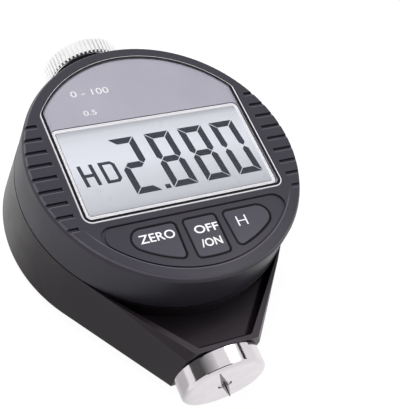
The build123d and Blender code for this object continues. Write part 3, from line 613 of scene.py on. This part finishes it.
class DUROMETER_OT_housing(Operator):
    """Finish the rear housing, the front housing, the rear cover and the battery's cap"""

    bl_idname = "durometer.housing"
    bl_label = "Housing"

    def execute(self, context):
        look = context.scene.durometer_housing
        grain = (look.grain_size, look.grain_depth)
        body = moulded("body_plastic", look.body_colour, look.body_roughness, *grain,
                       Specular_IOR_Level=0.32, Specular_Tint=(1, 0.88, 1, 1))
        cover = moulded("cover_plastic", look.cover_colour, look.cover_roughness, *grain,
                        Specular_IOR_Level=0.42, Specular_Tint=(0.96, 0.92, 1, 1))
        # painted highlights on the cover's rim, the key field's lower rim and the notches' lower
        # edges
        painted_edge_highlights(cover)
        dress(body, "rear_body", "rear_cover", "battery_cap")
        dress(cover, "front_cover")
        return {"FINISHED"}


class DUROMETER_OT_window(Operator):
    """Finish the window, its rim of painted highlight, its line of painted shade, its plate and the
    print on it
    """

    bl_idname = "durometer.window"
    bl_label = "Window"

    # left, right, base line and height of the print in mm
    RANGE_SPOT = (-14.0, -5.6, 18.0, 1.55)
    STEP_SPOT = (-13.0, -10.2, 13.0, 1.25)
    # share of the rim's width from outside in, and mm over the window
    RIM_SECTION = ((0, -0.25), (0, -0.08), (0.3, 0.035), (0.7, 0.035), (1, -0.05), (1, -0.25))

    def execute(self, context):
        look = context.scene.durometer_window
        lens = new_finish("window_plastic", (0.01, 0.01, 0.01), 0.04, Alpha=0.08, IOR=1.49)
        uneven_gloss(lens, size=5 * MM, change=0.02)
        dress(lens, "window_lens")
        plate = printed("plate_print", look.plate_colour, 0.42, size=12 * MM, change=0.05)
        uneven_gloss(plate, size=3 * MM, change=0.04)
        dress(plate, "display_mask")
        self.edge(look)
        self.lettering(look)
        return {"FINISHED"}

    def edge(self, look):
        """The rim, a painted highlight, and inside it a dark line of painted shade, both thinner at
        the arc.
        """
        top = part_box("window_lens")[1].z
        gap, overlap = 0.06 * MM, 0.02 * MM
        outline = (look.half_width, look.bottom, look.arc_radius, look.corner_radius)

        def ring(name, section, material, slot):
            loops = []
            for inset, rise in section:
                line = window_outline(*outline, gap + inset, gap + inset * look.arc_share)
                loops.append(on_head(line, top + rise))
            settle_on(ring_piece(name, loops, material), "housing", slot)

        # painted highlight: a near-white ring for the lit chamfer of the lens
        silver = new_finish("rim_silver", screen_colour(226, 226, 232), 0.25, 0.55)
        uneven_gloss(silver, size=2 * MM, change=0.05)
        section = [(part * look.highlight_rim_width, rise * MM) for part, rise in self.RIM_SECTION]
        ring("window_rim", section, silver, "frame")
        # painted shade: a dark ring for the shadowed gap inside the rim
        ink = printed("line_print", screen_colour(12, 12, 15), 0.6, size=2 * MM, change=0.1,
                      Specular_IOR_Level=0.2)
        start, end = look.highlight_rim_width - overlap, look.highlight_rim_width + look.line_width
        section = ((start, -PRINT_ROOT), (start, PRINT_HEIGHT), (end, PRINT_HEIGHT),
                   (end, -PRINT_ROOT))
        ring("window_line", section, ink, "mask")

    def lettering(self, look):
        """The range and the resolution, printed on the plate."""
        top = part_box("display_mask")[1].z
        levels = (top - PRINT_ROOT, top + PRINT_HEIGHT)
        white = printed("plate_ink", screen_colour(240, 240, 244), 0.45, size=1 * MM, change=0.03)
        for name, text, spot in (("range_print", look.range_words, self.RANGE_SPOT),
                                 ("step_print", look.step_words, self.STEP_SPOT)):
            settle_on(words_piece(name, text, spot, levels, white), "housing", "mask")


class DUROMETER_OT_display(Operator):
    """Build the display's frame and its reading, and paint shade on the cell behind them"""

    bl_idname = "durometer.display"
    bl_label = "Display"

    # places in mm from the head's centre
    FIGURE_CENTRES = (-7.15, 0.9, 8.5, 16.0)
    FIGURE_MIDDLE, FIGURE_RISE = -0.5, 0.02
    DECIMAL_POINT = ((-2.85, -7.3), (-1.7, -7.3), (-1.8, -6.3), (-2.95, -6.3))
    LETTER_SIDES = {"H": (-18.8, -15.6), "D": (-14.4, -11.0)}
    LETTER_BASE, LETTER_HEIGHT = -3.7, 5.1
    # the bars of a letter in a square of side 1
    LETTER_BARS = {
        "H": (((0, 0), (0.24, 0), (0.24, 1), (0, 1)),
              ((0.76, 0), (1, 0), (1, 1), (0.76, 1)),
              ((0.24, 0.43), (0.76, 0.43), (0.76, 0.57), (0.24, 0.57))),
        "D": (((0, 0), (0.22, 0.13), (0.22, 0.87), (0, 1)),
              ((0, 0), (0.78, 0), (0.7, 0.13), (0.22, 0.13)),
              ((0.22, 0.87), (0.7, 0.87), (0.78, 1), (0, 1)),
              ((0.78, 0), (1, 0.15), (0.78, 0.2), (0.7, 0.13)),
              ((0.7, 0.87), (0.78, 0.8), (1, 0.85), (0.78, 1)),
              ((0.78, 0.2), (1, 0.15), (1, 0.85), (0.78, 0.8))),
    }
    # a is the top segment, b to f run clockwise from it, and g is the middle one
    LIT = {"0": "abcdef", "1": "bc", "2": "abdeg", "3": "abcdg", "4": "bcfg",
           "5": "acdfg", "6": "acdefg", "7": "abc", "8": "abcdefg", "9": "abcdfg"}
    # inset and mm over the frame's top: two beads with a fine groove between them
    FRAME_SECTION = ((0.0, -0.12), (0.1, 0.0), (0.28, 0.0), (0.36, -0.12), (0.44, 0.0),
                     (0.68, 0.0), (0.8, -0.1), (0.85, -0.3))
    FRAME_CORNER, FRAME_LEAST_CORNER = 1.3, 0.3
    # share of the cell's height, and of its brightness there: painted shade, darker towards the
    # bottom and under the top edge
    CELL_PAINTED_SHADE = ((0.0, 0.62), (0.06, 0.72), (0.3, 0.84), (0.58, 1.0), (0.8, 0.95), (0.93, 0.84),
                   (0.985, 0.6))

    def execute(self, context):
        look = context.scene.durometer_display
        self.build_frame()
        self.paint_cell_shade(look)
        ink = printed("segment_ink", look.ink_colour, 0.45, size=2 * MM, change=0.05,
                      Specular_IOR_Level=0.2)
        figures = [[(x * MM, y * MM) for x, y in self.DECIMAL_POINT]]
        for figure, centre in zip(look.reading, self.FIGURE_CENTRES):
            figures += self.figure_outlines(look, figure, centre * MM, self.FIGURE_MIDDLE * MM)
        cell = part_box("display_glass")[1].z
        levels = (cell - PRINT_ROOT, cell + self.FIGURE_RISE * MM)
        for name, outlines in (("display_figures", figures),
                               ("display_unit", self.letter_outlines(look.unit_words, look.lean))):
            settle_on(prisms_piece(name, outlines, *levels, ink), "housing", "display")
        return {"FINISHED"}

    def build_frame(self):
        """The white frame, from its foot over the beads to its foot inside."""
        white = printed("frame_plastic", screen_colour(250, 249, 254), 0.3, size=4 * MM, change=0.02)
        uneven_gloss(white, size=2 * MM, change=0.04)
        low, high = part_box("display_frame")
        bottom, top = low.y - HEAD_Y, high.y - HEAD_Y
        section = [(inset * MM, high.z + rise * MM) for inset, rise in self.FRAME_SECTION]
        section = [(0.0, low.z), *section, (section[-1][0], low.z)]
        loops = []
        for inset, z in section:
            side = high.x - inset
            corner = max(self.FRAME_CORNER * MM - inset, self.FRAME_LEAST_CORNER * MM)
            loops.append(on_head(box_outline(-side, side, bottom + inset, top - inset, corner), z))
        bezel = ring_piece("display_bezel", loops, white, math.radians(20))
        settle_on(bezel, "housing", "frame", "display_frame")

    def paint_cell_shade(self, look):
        """Paints shade on the cell: darker towards its lower edge and just under its upper edge."""
        low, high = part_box("display_glass")
        glass = new_finish("cell_glass", look.cell_colour, 0.3)
        stops = [(part, scaled(look.cell_colour, shade)) for part, shade in self.CELL_PAINTED_SHADE]
        rise = span(glass, along(glass, "Y"), low.y, high.y)
        link(glass, ramp(glass, rise, *stops), "Base Color")
        uneven_gloss(glass, size=4 * MM, change=0.03)
        dress(glass, "display_glass")

    def figure_outlines(self, look, figure, x, y):
        """The lit segments of one leaning figure, centred at x and y."""
        # width, height, thickness, gap and middle
        w, h, t, g = look.digit_width, look.digit_height, look.stroke, look.gap
        m = h / 2
        shapes = {
            "a": [(g, h), (w - g, h), (w - g - t, h - t), (g + t, h - t)],
            "d": [(g, 0), (g + t, t), (w - g - t, t), (w - g, 0)],
            "e": [(0, g), (t, g + t), (t, m - g - t / 2), (t / 2, m - g), (0, m - g - t / 2)],
            "f": [(0, h - g), (0, m + g + t / 2), (t / 2, m + g), (t, m + g + t / 2),
                  (t, h - g - t)],
            "g": [(t / 2 + g, m), (t + g, m - t / 2), (w - t - g, m - t / 2),
                  (w - t / 2 - g, m), (w - t - g, m + t / 2), (t + g, m + t / 2)],
        }
        for left, right in (("f", "b"), ("e", "c")):
            shapes[right] = [(w - u, v) for u, v in reversed(shapes[left])]
        slope = math.tan(look.lean)
        return [[(x + u - w / 2 - slope * (v - m), y + v - m) for u, v in shapes[name]]
                for name in self.LIT[figure]]

    def letter_outlines(self, text, lean):
        """Leaning letters of plain bars for the small unit."""
        slope = math.tan(lean) * self.LETTER_HEIGHT
        outlines = []
        for letter in text:
            left, right = self.LETTER_SIDES[letter]
            for bar in self.LETTER_BARS[letter]:
                outlines.append([((left + (right - left) * x - slope * (y - 0.5)) * MM,
                                  (self.LETTER_BASE + self.LETTER_HEIGHT * y) * MM) for x, y in bar])
        return outlines


class DUROMETER_OT_keypad(Operator):
    """Finish the three keys, paint dark rings of shade round them and print their legends"""

    bl_idname = "durometer.keypad"
    bl_label = "Keypad"

    # name, setting, key, then left, right, base line and height in mm, and the strokes' weight
    LEGENDS = (
        ("zero_legend", "left_words", "zero_key", (-13.2, -5.7, -18.6, 1.9), 0.012),
        ("power_legend_upper", "middle_upper_words", "power_key", (-1.6, 3.7, -18.95, 1.8), 0.018),
        ("power_legend_lower", "middle_lower_words", "power_key", (-1.4, 3.1, -22.1, 1.8), 0.018),
        ("hold_legend", "right_words", "hold_key", (8.0, 10.2, -19.2, 2.25), -0.01),
    )

    def execute(self, context):
        look = context.scene.durometer_keypad
        dress(moulded("key_rubber", look.key_colour, 0.5, 0.18 * MM, 0.002 * MM), *KEYS)
        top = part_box("power_key")[1].z
        self.paint_gap_shade(look, top - 0.05 * MM)
        ink = printed("legend_ink", look.legend_colour, 0.5, size=1 * MM, change=0.03)
        levels = (top - PRINT_ROOT, top + look.print_height)
        for name, setting, key, spot, weight in self.LEGENDS:
            text = getattr(look, setting)
            settle_on(words_piece(name, text, spot, levels, ink, weight), key, "key")
        return {"FINISHED"}

    def paint_gap_shade(self, look, floor):
        """Painted shade: a dark low ring on the field's floor round each key, standing for the
        shadow in the gap.
        """
        shade = printed("key_gap_black", screen_colour(9, 9, 11), 0.6, size=2 * MM, change=0.1,
                        Specular_IOR_Level=0.15)
        near, far = 0.05 * MM, look.gap_shade_width
        lip = far + 0.03 * MM
        section = ((near, -0.15), (near, -0.06), (far / 2, 0.008), (far, 0.008), (lip, -0.02),
                   (lip, -0.15))
        for key in KEYS:
            loops = [[(x, y, floor + rise * MM) for x, y in key_outline(key, growth)]
                     for growth, rise in section]
            # each ring is painted shade round its key
            settle_on(ring_piece(key + "_gap", loops, shade), "housing", "rubber")


class DUROMETER_OT_foot(Operator):
    """Finish the chrome presser foot and the indenter, and build the guide ring between them"""

    bl_idname = "durometer.foot"
    bl_label = "Foot and indenter"

    # radius and height over the foot's face in mm
    RING_SECTION = ((0.66, 0.9), (0.66, 0.2), (0.72, 0.12), (1.2, 0.12), (1.3, 0.22), (1.3, 0.9))

    def execute(self, context):
        look = context.scene.durometer_metal
        dress(turned("foot_chrome", screen_colour(216, 211, 215), look.chrome_roughness,
                     mark_size=0.3 * MM, mark_depth=0.006 * MM), "presser_foot")
        dress(turned("indenter_steel", screen_colour(150, 144, 147), 0.12), "indenter")
        steel = new_finish("guide_ring_steel", screen_colour(190, 186, 189), 0.2, 1.0)
        uneven_gloss(steel, size=0.5 * MM, change=0.04)
        profile = [(radius * MM, height * MM) for radius, height in self.RING_SECTION]
        ring = ring_piece("foot_guide_ring", turned_loops(profile, steps=64), steel)
        settle_on(ring, "housing", "chrome")
        return {"FINISHED"}


class DUROMETER_OT_knob(Operator):
    """Build the ribbed knob"""

    bl_idname = "durometer.knob"
    bl_label = "Knob"

    BORE, RELIEF = 3.05 * MM, 7.4 * MM
    # a rib's ends: mm from the knob's end, and how far the rib has fallen there
    RIB_BASE = ((0.1, 0.35), (0.4, 0.0))
    RIB_TOP = ((0.75, 0.0), (0.4, 0.12), (0.15, 0.42))

    def execute(self, context):
        look = context.scene.durometer_metal
        silver = turned("knob_silver", screen_colour(246, 246, 246), look.knob_roughness)
        low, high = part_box("top_knob")
        core = high.x - look.rib_height
        base = ((self.BORE, 3.0), (self.BORE, 0.5), (self.RELIEF, 0.35), (self.RELIEF, 0.0),
                (core - 0.25 * MM, 0.0), (core, 0.25))
        top = ((core, 0.7), (core - 0.12 * MM, 0.35), (core - 0.45 * MM, 0.08),
               (core - 0.9 * MM, 0.0), (0.5 * core, 0.0), (0.2 * core, 0.0))
        profile = [(radius, low.y + rise * MM) for radius, rise in base]
        profile += [(radius, high.y - drop * MM) for radius, drop in top]
        body = lathe("knob_body", profile, silver)
        rib = self.rib(look, high.x, low.y, high.y, silver)
        shape = bmesh.new()
        shape.from_mesh(body.data)
        shape.from_mesh(repeat_round(rib, look.rib_count, silver))
        bpy.data.objects.remove(body)
        mesh = bpy.data.meshes.new("ribbed_knob")
        shape.to_mesh(mesh)
        shape.free()
        settle_on(settle("ribbed_knob", mesh, silver), "top_knob", "alloy", "top_knob")
        return {"FINISHED"}

    def rib(self, look, outer, base, top, material):
        """One rounded rib at the +X side, tapered at both ends."""
        half = math.pi * outer / look.rib_count * look.rib_share
        root = outer - look.rib_height - 0.2 * MM
        flank = ((root, 1.0), (outer - 0.12 * MM, 0.82), (outer, 0.4))
        section = [(x, -part * half) for x, part in flank]
        section += [(x, part * half) for x, part in reversed(flank)]
        rows = [(base + rise * MM, drop * MM) for rise, drop in self.RIB_BASE]
        rows += [(top - fall * MM, drop * MM) for fall, drop in self.RIB_TOP]
        points = [(max(root - drop * 0.2, x - drop), y, z) for y, drop in rows for x, z in section]
        return add_mesh("knob_rib", points, tube_faces(len(section), len(rows)), material)


class DUROMETER_OT_fasteners(Operator):
    """Build the cross-recessed screws of the front housing and of the rear cover"""

    bl_idname = "durometer.fasteners"
    bl_label = "Fasteners"

    # node, radius of its screws' circle in mm, and the upper and lower pairs' angles in degrees
    CIRCLES = (("rear_cover_screws", 18.0, 45.0, 45.0), ("front_cover_screws", 25.1, 41.0, 33.0))
    HEAD_RADIUS, HEAD_HEIGHT, SHANK_RADIUS = 1.8 * MM, 1.3 * MM, 0.95 * MM
    RECESS_TAPER = 0.62  # the recess's size at its bottom, as a share of that at the head's face

    def execute(self, context):
        look = context.scene.durometer_metal
        steel = turned("screw_steel", screen_colour(96, 95, 98), 0.3)
        for node, radius, *angles in self.CIRCLES:
            low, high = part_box(node)
            screw = self.screw(look, low.z, high.z, steel)
            mesh = repeat_in_four(screw, radius * MM, *map(math.radians, angles), steel)
            made = settle(node.replace("screws", "cross_screws"), mesh, steel)
            settle_on(made, "housing", "screw", node)
        return {"FINISHED"}

    def screw(self, look, low, high, material):
        """One screw whose head faces the back, with a cross recess."""
        head, shank, seat = self.HEAD_RADIUS, self.SHANK_RADIUS, low + self.HEAD_HEIGHT
        profile = [(0.3 * MM, low), (0.75 * head, low), (0.93 * head, low + 0.12 * MM),
                   (head, low + 0.4 * MM), (head, seat), (shank, seat), (shank, high - 0.5 * MM),
                   (0.4 * MM, high)]
        body = lathe("screw_body", profile, material, axis="Z", steps=40)
        uncut = len(body.data.polygons)
        cutter = self.cross(look, low, material)
        cut = body.modifiers.new("Recess", "BOOLEAN")
        cut.operation = "DIFFERENCE"
        cut.solver = "EXACT"
        cut.object = cutter
        mesh = evaluated_mesh(body, cutter)
        if len(mesh.polygons) <= uncut:
            raise RuntimeError("the cross recess was not cut")
        return settle("screw_single", mesh, material)

    def cross(self, look, low, material):
        """A tapered cross, wider at the head's face."""
        arm, half, taper = look.recess_length / 2, look.recess_width / 2, self.RECESS_TAPER
        outline = []
        for x, y in ((1, 0), (0, 1), (-1, 0), (0, -1)):
            for along_arm, across in ((arm, -half), (arm, half), (half, half)):
                outline.append((x * along_arm - y * across, y * along_arm + x * across))
        points = [(x, y, low - 0.2 * MM) for x, y in outline]
        points += [(x * taper, y * taper, low + look.recess_depth) for x, y in outline]
        return add_mesh("screw_cross", points, tube_faces(len(outline), 2), material)


class DUROMETER_OT_inside(Operator):
    """Finish the electronics and the measuring works inside"""

    bl_idname = "durometer.inside"
    bl_label = "Inside"

    # name, screen colour, roughness, grain's size and depth in mm, and nodes
    MOULDED = (
        ("mat_rubber", (150, 152, 156), 0.6, 0.3, 0.003, ("key_mat", "zebra_strips")),
        ("seal_rubber", (32, 32, 34), 0.6, 0.3, 0.003, ("battery_cap_seal",)),
        ("chip_resin", (36, 36, 38), 0.55, 0.1, 0.004, ("controller_chip",)),
        ("capacitor_ceramic", (176, 148, 112), 0.5, 0.2, 0.002, ("capacitors",)),
        ("reflector_film", (220, 224, 230), 0.5, 0.2, 0.002, ("display_reflector",)),
        ("header_plastic", (30, 30, 32), 0.5, 0.2, 0.003, ("board_header", "guide_rail")),
    )
    # name, screen colour, roughness and nodes
    TURNED = (
        ("washer_black", (44, 42, 45), 0.4, ("knob_washer",)),
        ("inner_steel", (190, 190, 194), 0.22, ("spindle", "spring_collar", "guide_pin", "battery")),
        ("bush_brass", (206, 172, 96), 0.25, ("lower_bush", "upper_bush", "spring_adjuster")),
        ("contact_nickel", (206, 200, 184), 0.25,
         ("battery_negative_contact", "battery_positive_contact")),
        ("crystal_can", (200, 200, 204), 0.2, ("crystal",)),
        ("carrier_alloy", (176, 178, 182), 0.38, ("scale_carrier", "knob_stud")),
        ("small_screw_steel", (150, 150, 154), 0.3,
         ("main_board_screws", "sensor_board_screws", "carrier_screws", "foot_lock_screw")),
    )
    SPRING_TRAVEL, KEY_TRAVEL = 2.5 * MM, 0.6 * MM

    def execute(self, context):
        self.boards_and_scale()
        for name, tint, roughness, size, depth, nodes in self.MOULDED:
            dress(moulded(name, screen_colour(*tint), roughness, size * MM, depth * MM), *nodes)
        for name, tint, roughness, nodes in self.TURNED:
            dress(turned(name, screen_colour(*tint), roughness), *nodes)
        steel, rubber = (bpy.data.materials[name] for name in ("inner_steel", "mat_rubber"))
        self.give_way("measuring_spring", "indenter_press", self.SPRING_TRAVEL, 1, 1, steel, "steel")
        for key in KEYS:
            dome = key.replace("key", "dome")
            self.give_way(dome, key + "_press", self.KEY_TRAVEL, 2, 0, rubber, "rubber")
        return {"FINISHED"}

    def boards_and_scale(self):
        """Green boards with paler tracks, and a glass scale with dark lines."""
        green = screen_colour(28, 92, 58)
        board = new_finish("board_mask", green, 0.35)
        tracks = noise(board, 1.4 * MM, scale=(1, 3, 1), detail=0.0)
        stops = ((0.46, green), (0.5, scaled(green, 1.7)), (0.54, green))
        link(board, ramp(board, tracks, *stops), "Base Color")
        dress(board, "main_board", "sensor_board")
        glass = new_finish("scale_glass", screen_colour(196, 206, 214), 0.12)
        waves = {"Vector": object_place(glass), "Scale": 700.0}
        lines = add_node(glass, "ShaderNodeTexWave", waves, bands_direction="Y").outputs["Fac"]
        stops = ((0.45, screen_colour(40, 44, 52)), (0.55, screen_colour(200, 208, 216)))
        link(glass, ramp(glass, lines, *stops), "Base Color")
        dress(glass, "scale_strip")

    def give_way(self, node, joint, travel, axis, seat, material, slot):
        """A copy of a spring or dome, put on the housing in place of its node. The joint, travel,
        axis and seat are not used.
        """
        name = node + "_flexing"
        mesh = NODES[node].data.copy()
        mesh.name = name
        piece = settle(name, mesh, material, merge=1e-7)
        settle_on(piece, "housing", slot, node)
        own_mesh(piece)


class DUROMETER_OT_stage(Operator):
    """Set the floor, the lights, the cards that the metal mirrors, and the camera"""

    bl_idname = "durometer.stage"
    bl_label = "Stage"

    # lengths of the stage are in metres
    FLOOR_SIZE = 3.0
    TARGET = Vector((0, 34 * MM, 5 * MM))
    KEY_SPOT, KEY_SIZE = (-0.12, 0.22, 0.5), 0.3
    FILL_SPOT, FILL_SIZE = (-0.3, 0.1, 0.3), 0.2
    # name, brightness at CARD_START of the height and at the top, and corners; None is the ground
    CARDS = (
        ("left_card", 0.09, 0.85,
         ((-0.38, -0.005, None), (-0.38, 0.17, None), (-0.17, 0.17, 0.42), (-0.17, -0.005, 0.42))),
        ("softbox", 4.0, 4.0,
         ((0.011, 0.005, 0.071), (0.011, 0.037, 0.066), (0.04, 0.035, 0.056), (0.04, 0.003, 0.061))),
        ("front_strip", 0.02, 0.02,
         ((-0.34, -0.14, 0.24), (-0.34, -0.005, 0.24), (0.08, -0.005, 0.42), (0.08, -0.14, 0.42))),
        ("right_card", 0.01, 0.01,
         ((0.27, 0.05, 0.255), (0.27, 0.3, 0.255), (0.315, 0.3, 0.215), (0.315, 0.05, 0.215))),
    )
    CARD_START = 0.4
    CAMERA_PLACE = (-0.08868, -0.05829, 0.17786)
    CAMERA_RIGHT = (0.87699, -0.38905, 0.28201)
    CAMERA_UP = (0.18095, 0.81109, 0.55623)
    CAMERA_BACK = (-0.44514, -0.43678, 0.78172)

    def execute(self, context):
        look = context.scene.durometer_stage
        context.scene.view_settings.view_transform = "Standard"
        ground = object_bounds()[0][2]
        self.floor(look, ground)
        self.world(look)
        self.light("key_light", self.KEY_SPOT, self.KEY_SIZE, look.key_power)
        self.light("fill_light", self.FILL_SPOT, self.FILL_SIZE, look.fill_power)
        for name, low_tint, high_tint, corners in self.CARDS:
            corners = [(x, y, ground if z is None else z) for x, y, z in corners]
            self.card(name, corners, low_tint, high_tint)
        self.camera(look)
        return {"FINISHED"}

    def floor(self, look, ground):
        """A white floor that takes a soft shadow."""
        size, tint = self.FLOOR_SIZE, look.shadow_strength
        mesh = bpy.data.meshes.new("floor")
        corners = ((-size, -size), (size, -size), (size, size), (-size, size))
        mesh.from_pydata([(x, y, ground) for x, y in corners], [], [(0, 1, 2, 3)])
        paper = new_finish("floor_paper", (0.5, 0.5, 0.5), 0.8, Specular_IOR_Level=0.1)
        strength = self.mirrored_floor_with_painted_shadow(paper, 1 - 0.4 * tint)
        glow = add_node(paper, "ShaderNodeEmission", {"Color": WHITE, "Strength": strength})
        matt = add_node(paper, "ShaderNodeBsdfDiffuse", {"Color": (tint, tint, tint, 1)})
        both = add_node(paper, "ShaderNodeAddShader", {0: glow.outputs[0], 1: matt.outputs[0]})
        shaders = {0: self.seen(paper), 1: shader_of(paper).outputs[0], 2: both.outputs[0]}
        mixed = add_node(paper, "ShaderNodeMixShader", shaders)
        tree = paper.node_tree
        tree.links.new(mixed.outputs[0], tree.nodes["Material Output"].inputs["Surface"])
        mesh.materials.append(paper)
        show(bpy.data.objects.new("floor", mesh))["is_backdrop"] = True

    def mirrored_floor_with_painted_shadow(self, material, plain):
        """The floor's glow: plain to the camera, and with a painted shadow where the tester's side
        mirrors it, seen only in reflections.
        """
        # painted shadow: an oval patch beside the tester's lower-left side, darker only in mirrored
        # rays
        painted_shadow_patch = mapped(material, scale=(10 * MM, 30 * MM, 1), location=(-26 * MM, 18 * MM, 0),
                       turn=math.radians(32), kind="TEXTURE")
        near = span(material, axis_distance(material, painted_shadow_patch), 0.6, 1.5, 0.5, plain,
                    interpolation_type="SMOOTHSTEP")
        mirrored = add_node(material, "ShaderNodeLightPath").outputs["Is Glossy Ray"]
        inputs = {"Factor": mirrored, 2: plain, 3: near}
        return add_node(material, "ShaderNodeMix", inputs).outputs[0]

    def seen(self, owner):
        """1 for rays from the camera, and for mirrored and transmitted ones."""
        rays = add_node(owner, "ShaderNodeLightPath").outputs
        first = maths(owner, "MAXIMUM", rays["Is Camera Ray"], rays["Is Glossy Ray"])
        return maths(owner, "MAXIMUM", first, rays["Is Transmission Ray"])

    def world(self, look):
        """White walls, which light the tester less than they show."""
        world = bpy.data.worlds.new("studio")
        world.use_nodes = True
        bpy.context.scene.world = world
        background = world.node_tree.nodes["Background"]
        background.inputs["Color"].default_value = WHITE
        strength = maths(world, "MULTIPLY_ADD", self.seen(world), 1 - look.surround, look.surround)
        world.node_tree.links.new(strength, background.inputs["Strength"])

    def light(self, name, spot, size, watts):
        """A square lamp that looks at the tester and isn't mirrored."""
        lamp = bpy.data.lights.new(name, "AREA")
        lamp.shape = "SQUARE"
        lamp.size = size
        lamp.energy = watts
        made = show(bpy.data.objects.new(name, lamp))
        turn = (self.TARGET - Vector(spot)).to_track_quat("-Z", "Y")
        made.matrix_world = Matrix.Translation(spot) @ turn.to_matrix().to_4x4()
        made.visible_glossy = False

    def card(self, name, corners, low_tint, high_tint):
        """A card that the camera doesn't see, for the metal and the window to mirror."""
        paint = new_finish(name, (0, 0, 0), 1.0, Specular_IOR_Level=0.0, Emission_Color=WHITE)
        made = add_mesh(name, corners, [(0, 1, 2, 3)], paint)
        heights = [z for _, _, z in corners]
        start = min(heights) + self.CARD_START * (max(heights) - min(heights))
        strength = span(paint, along(paint, "Z"), start, max(heights), low_tint, high_tint)
        link(paint, strength, "Emission Strength")
        made.visible_camera = False
        made.visible_diffuse = False
        made.visible_shadow = False
        made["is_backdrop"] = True

    def camera(self, look):
        """The photograph's view, as solved from its circles and lines."""
        lens = bpy.data.cameras.new("camera")
        lens.lens = look.focal_length
        lens.sensor_width = 36
        lens.clip_start = 0.01
        made = show(bpy.data.objects.new("camera", lens))
        axes = Matrix((self.CAMERA_RIGHT, self.CAMERA_UP, self.CAMERA_BACK)).transposed()
        made.matrix_world = Matrix.Translation(self.CAMERA_PLACE) @ axes.to_4x4()
        bpy.context.scene.camera = made


OPERATORS = (
    DUROMETER_OT_housing, DUROMETER_OT_window, DUROMETER_OT_display, DUROMETER_OT_keypad,
    DUROMETER_OT_foot, DUROMETER_OT_knob, DUROMETER_OT_fasteners, DUROMETER_OT_inside,
    DUROMETER_OT_stage,
)
SETTINGS = {
    "durometer_housing": HousingSettings,
    "durometer_window": WindowSettings,
    "durometer_display": DisplaySettings,
    "durometer_keypad": KeypadSettings,
    "durometer_metal": MetalSettings,
    "durometer_stage": StageSettings,
}


class DUROMETER_PT_pieces(Panel):
    """Lists the tester's pieces and their settings"""

    bl_idname = "DUROMETER_PT_pieces"
    bl_label = "Durometer"
    bl_space_type = "VIEW_3D"
    bl_region_type = "UI"
    bl_category = "Durometer"

    def draw(self, context):
        for operator in OPERATORS:
            self.layout.operator(operator.bl_idname)
        for name, group in SETTINGS.items():
            box = self.layout.box()
            for setting in group.__annotations__:
                box.prop(getattr(context.scene, name), setting)


def register():
    for group in (*SETTINGS.values(), *OPERATORS, DUROMETER_PT_pieces):
        bpy.utils.register_class(group)
    for name, group in SETTINGS.items():
        setattr(bpy.types.Scene, name, PointerProperty(type=group))


def unregister():
    for name in SETTINGS:
        delattr(bpy.types.Scene, name)
    for group in (DUROMETER_PT_pieces, *reversed(OPERATORS), *SETTINGS.values()):
        bpy.utils.unregister_class(group)


def main():
    register()
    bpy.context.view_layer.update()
    for operator in OPERATORS:
        step = operator.bl_idname.split(".")[1]
        getattr(bpy.ops.durometer, step)()


if __name__ == "__main__":
    main()
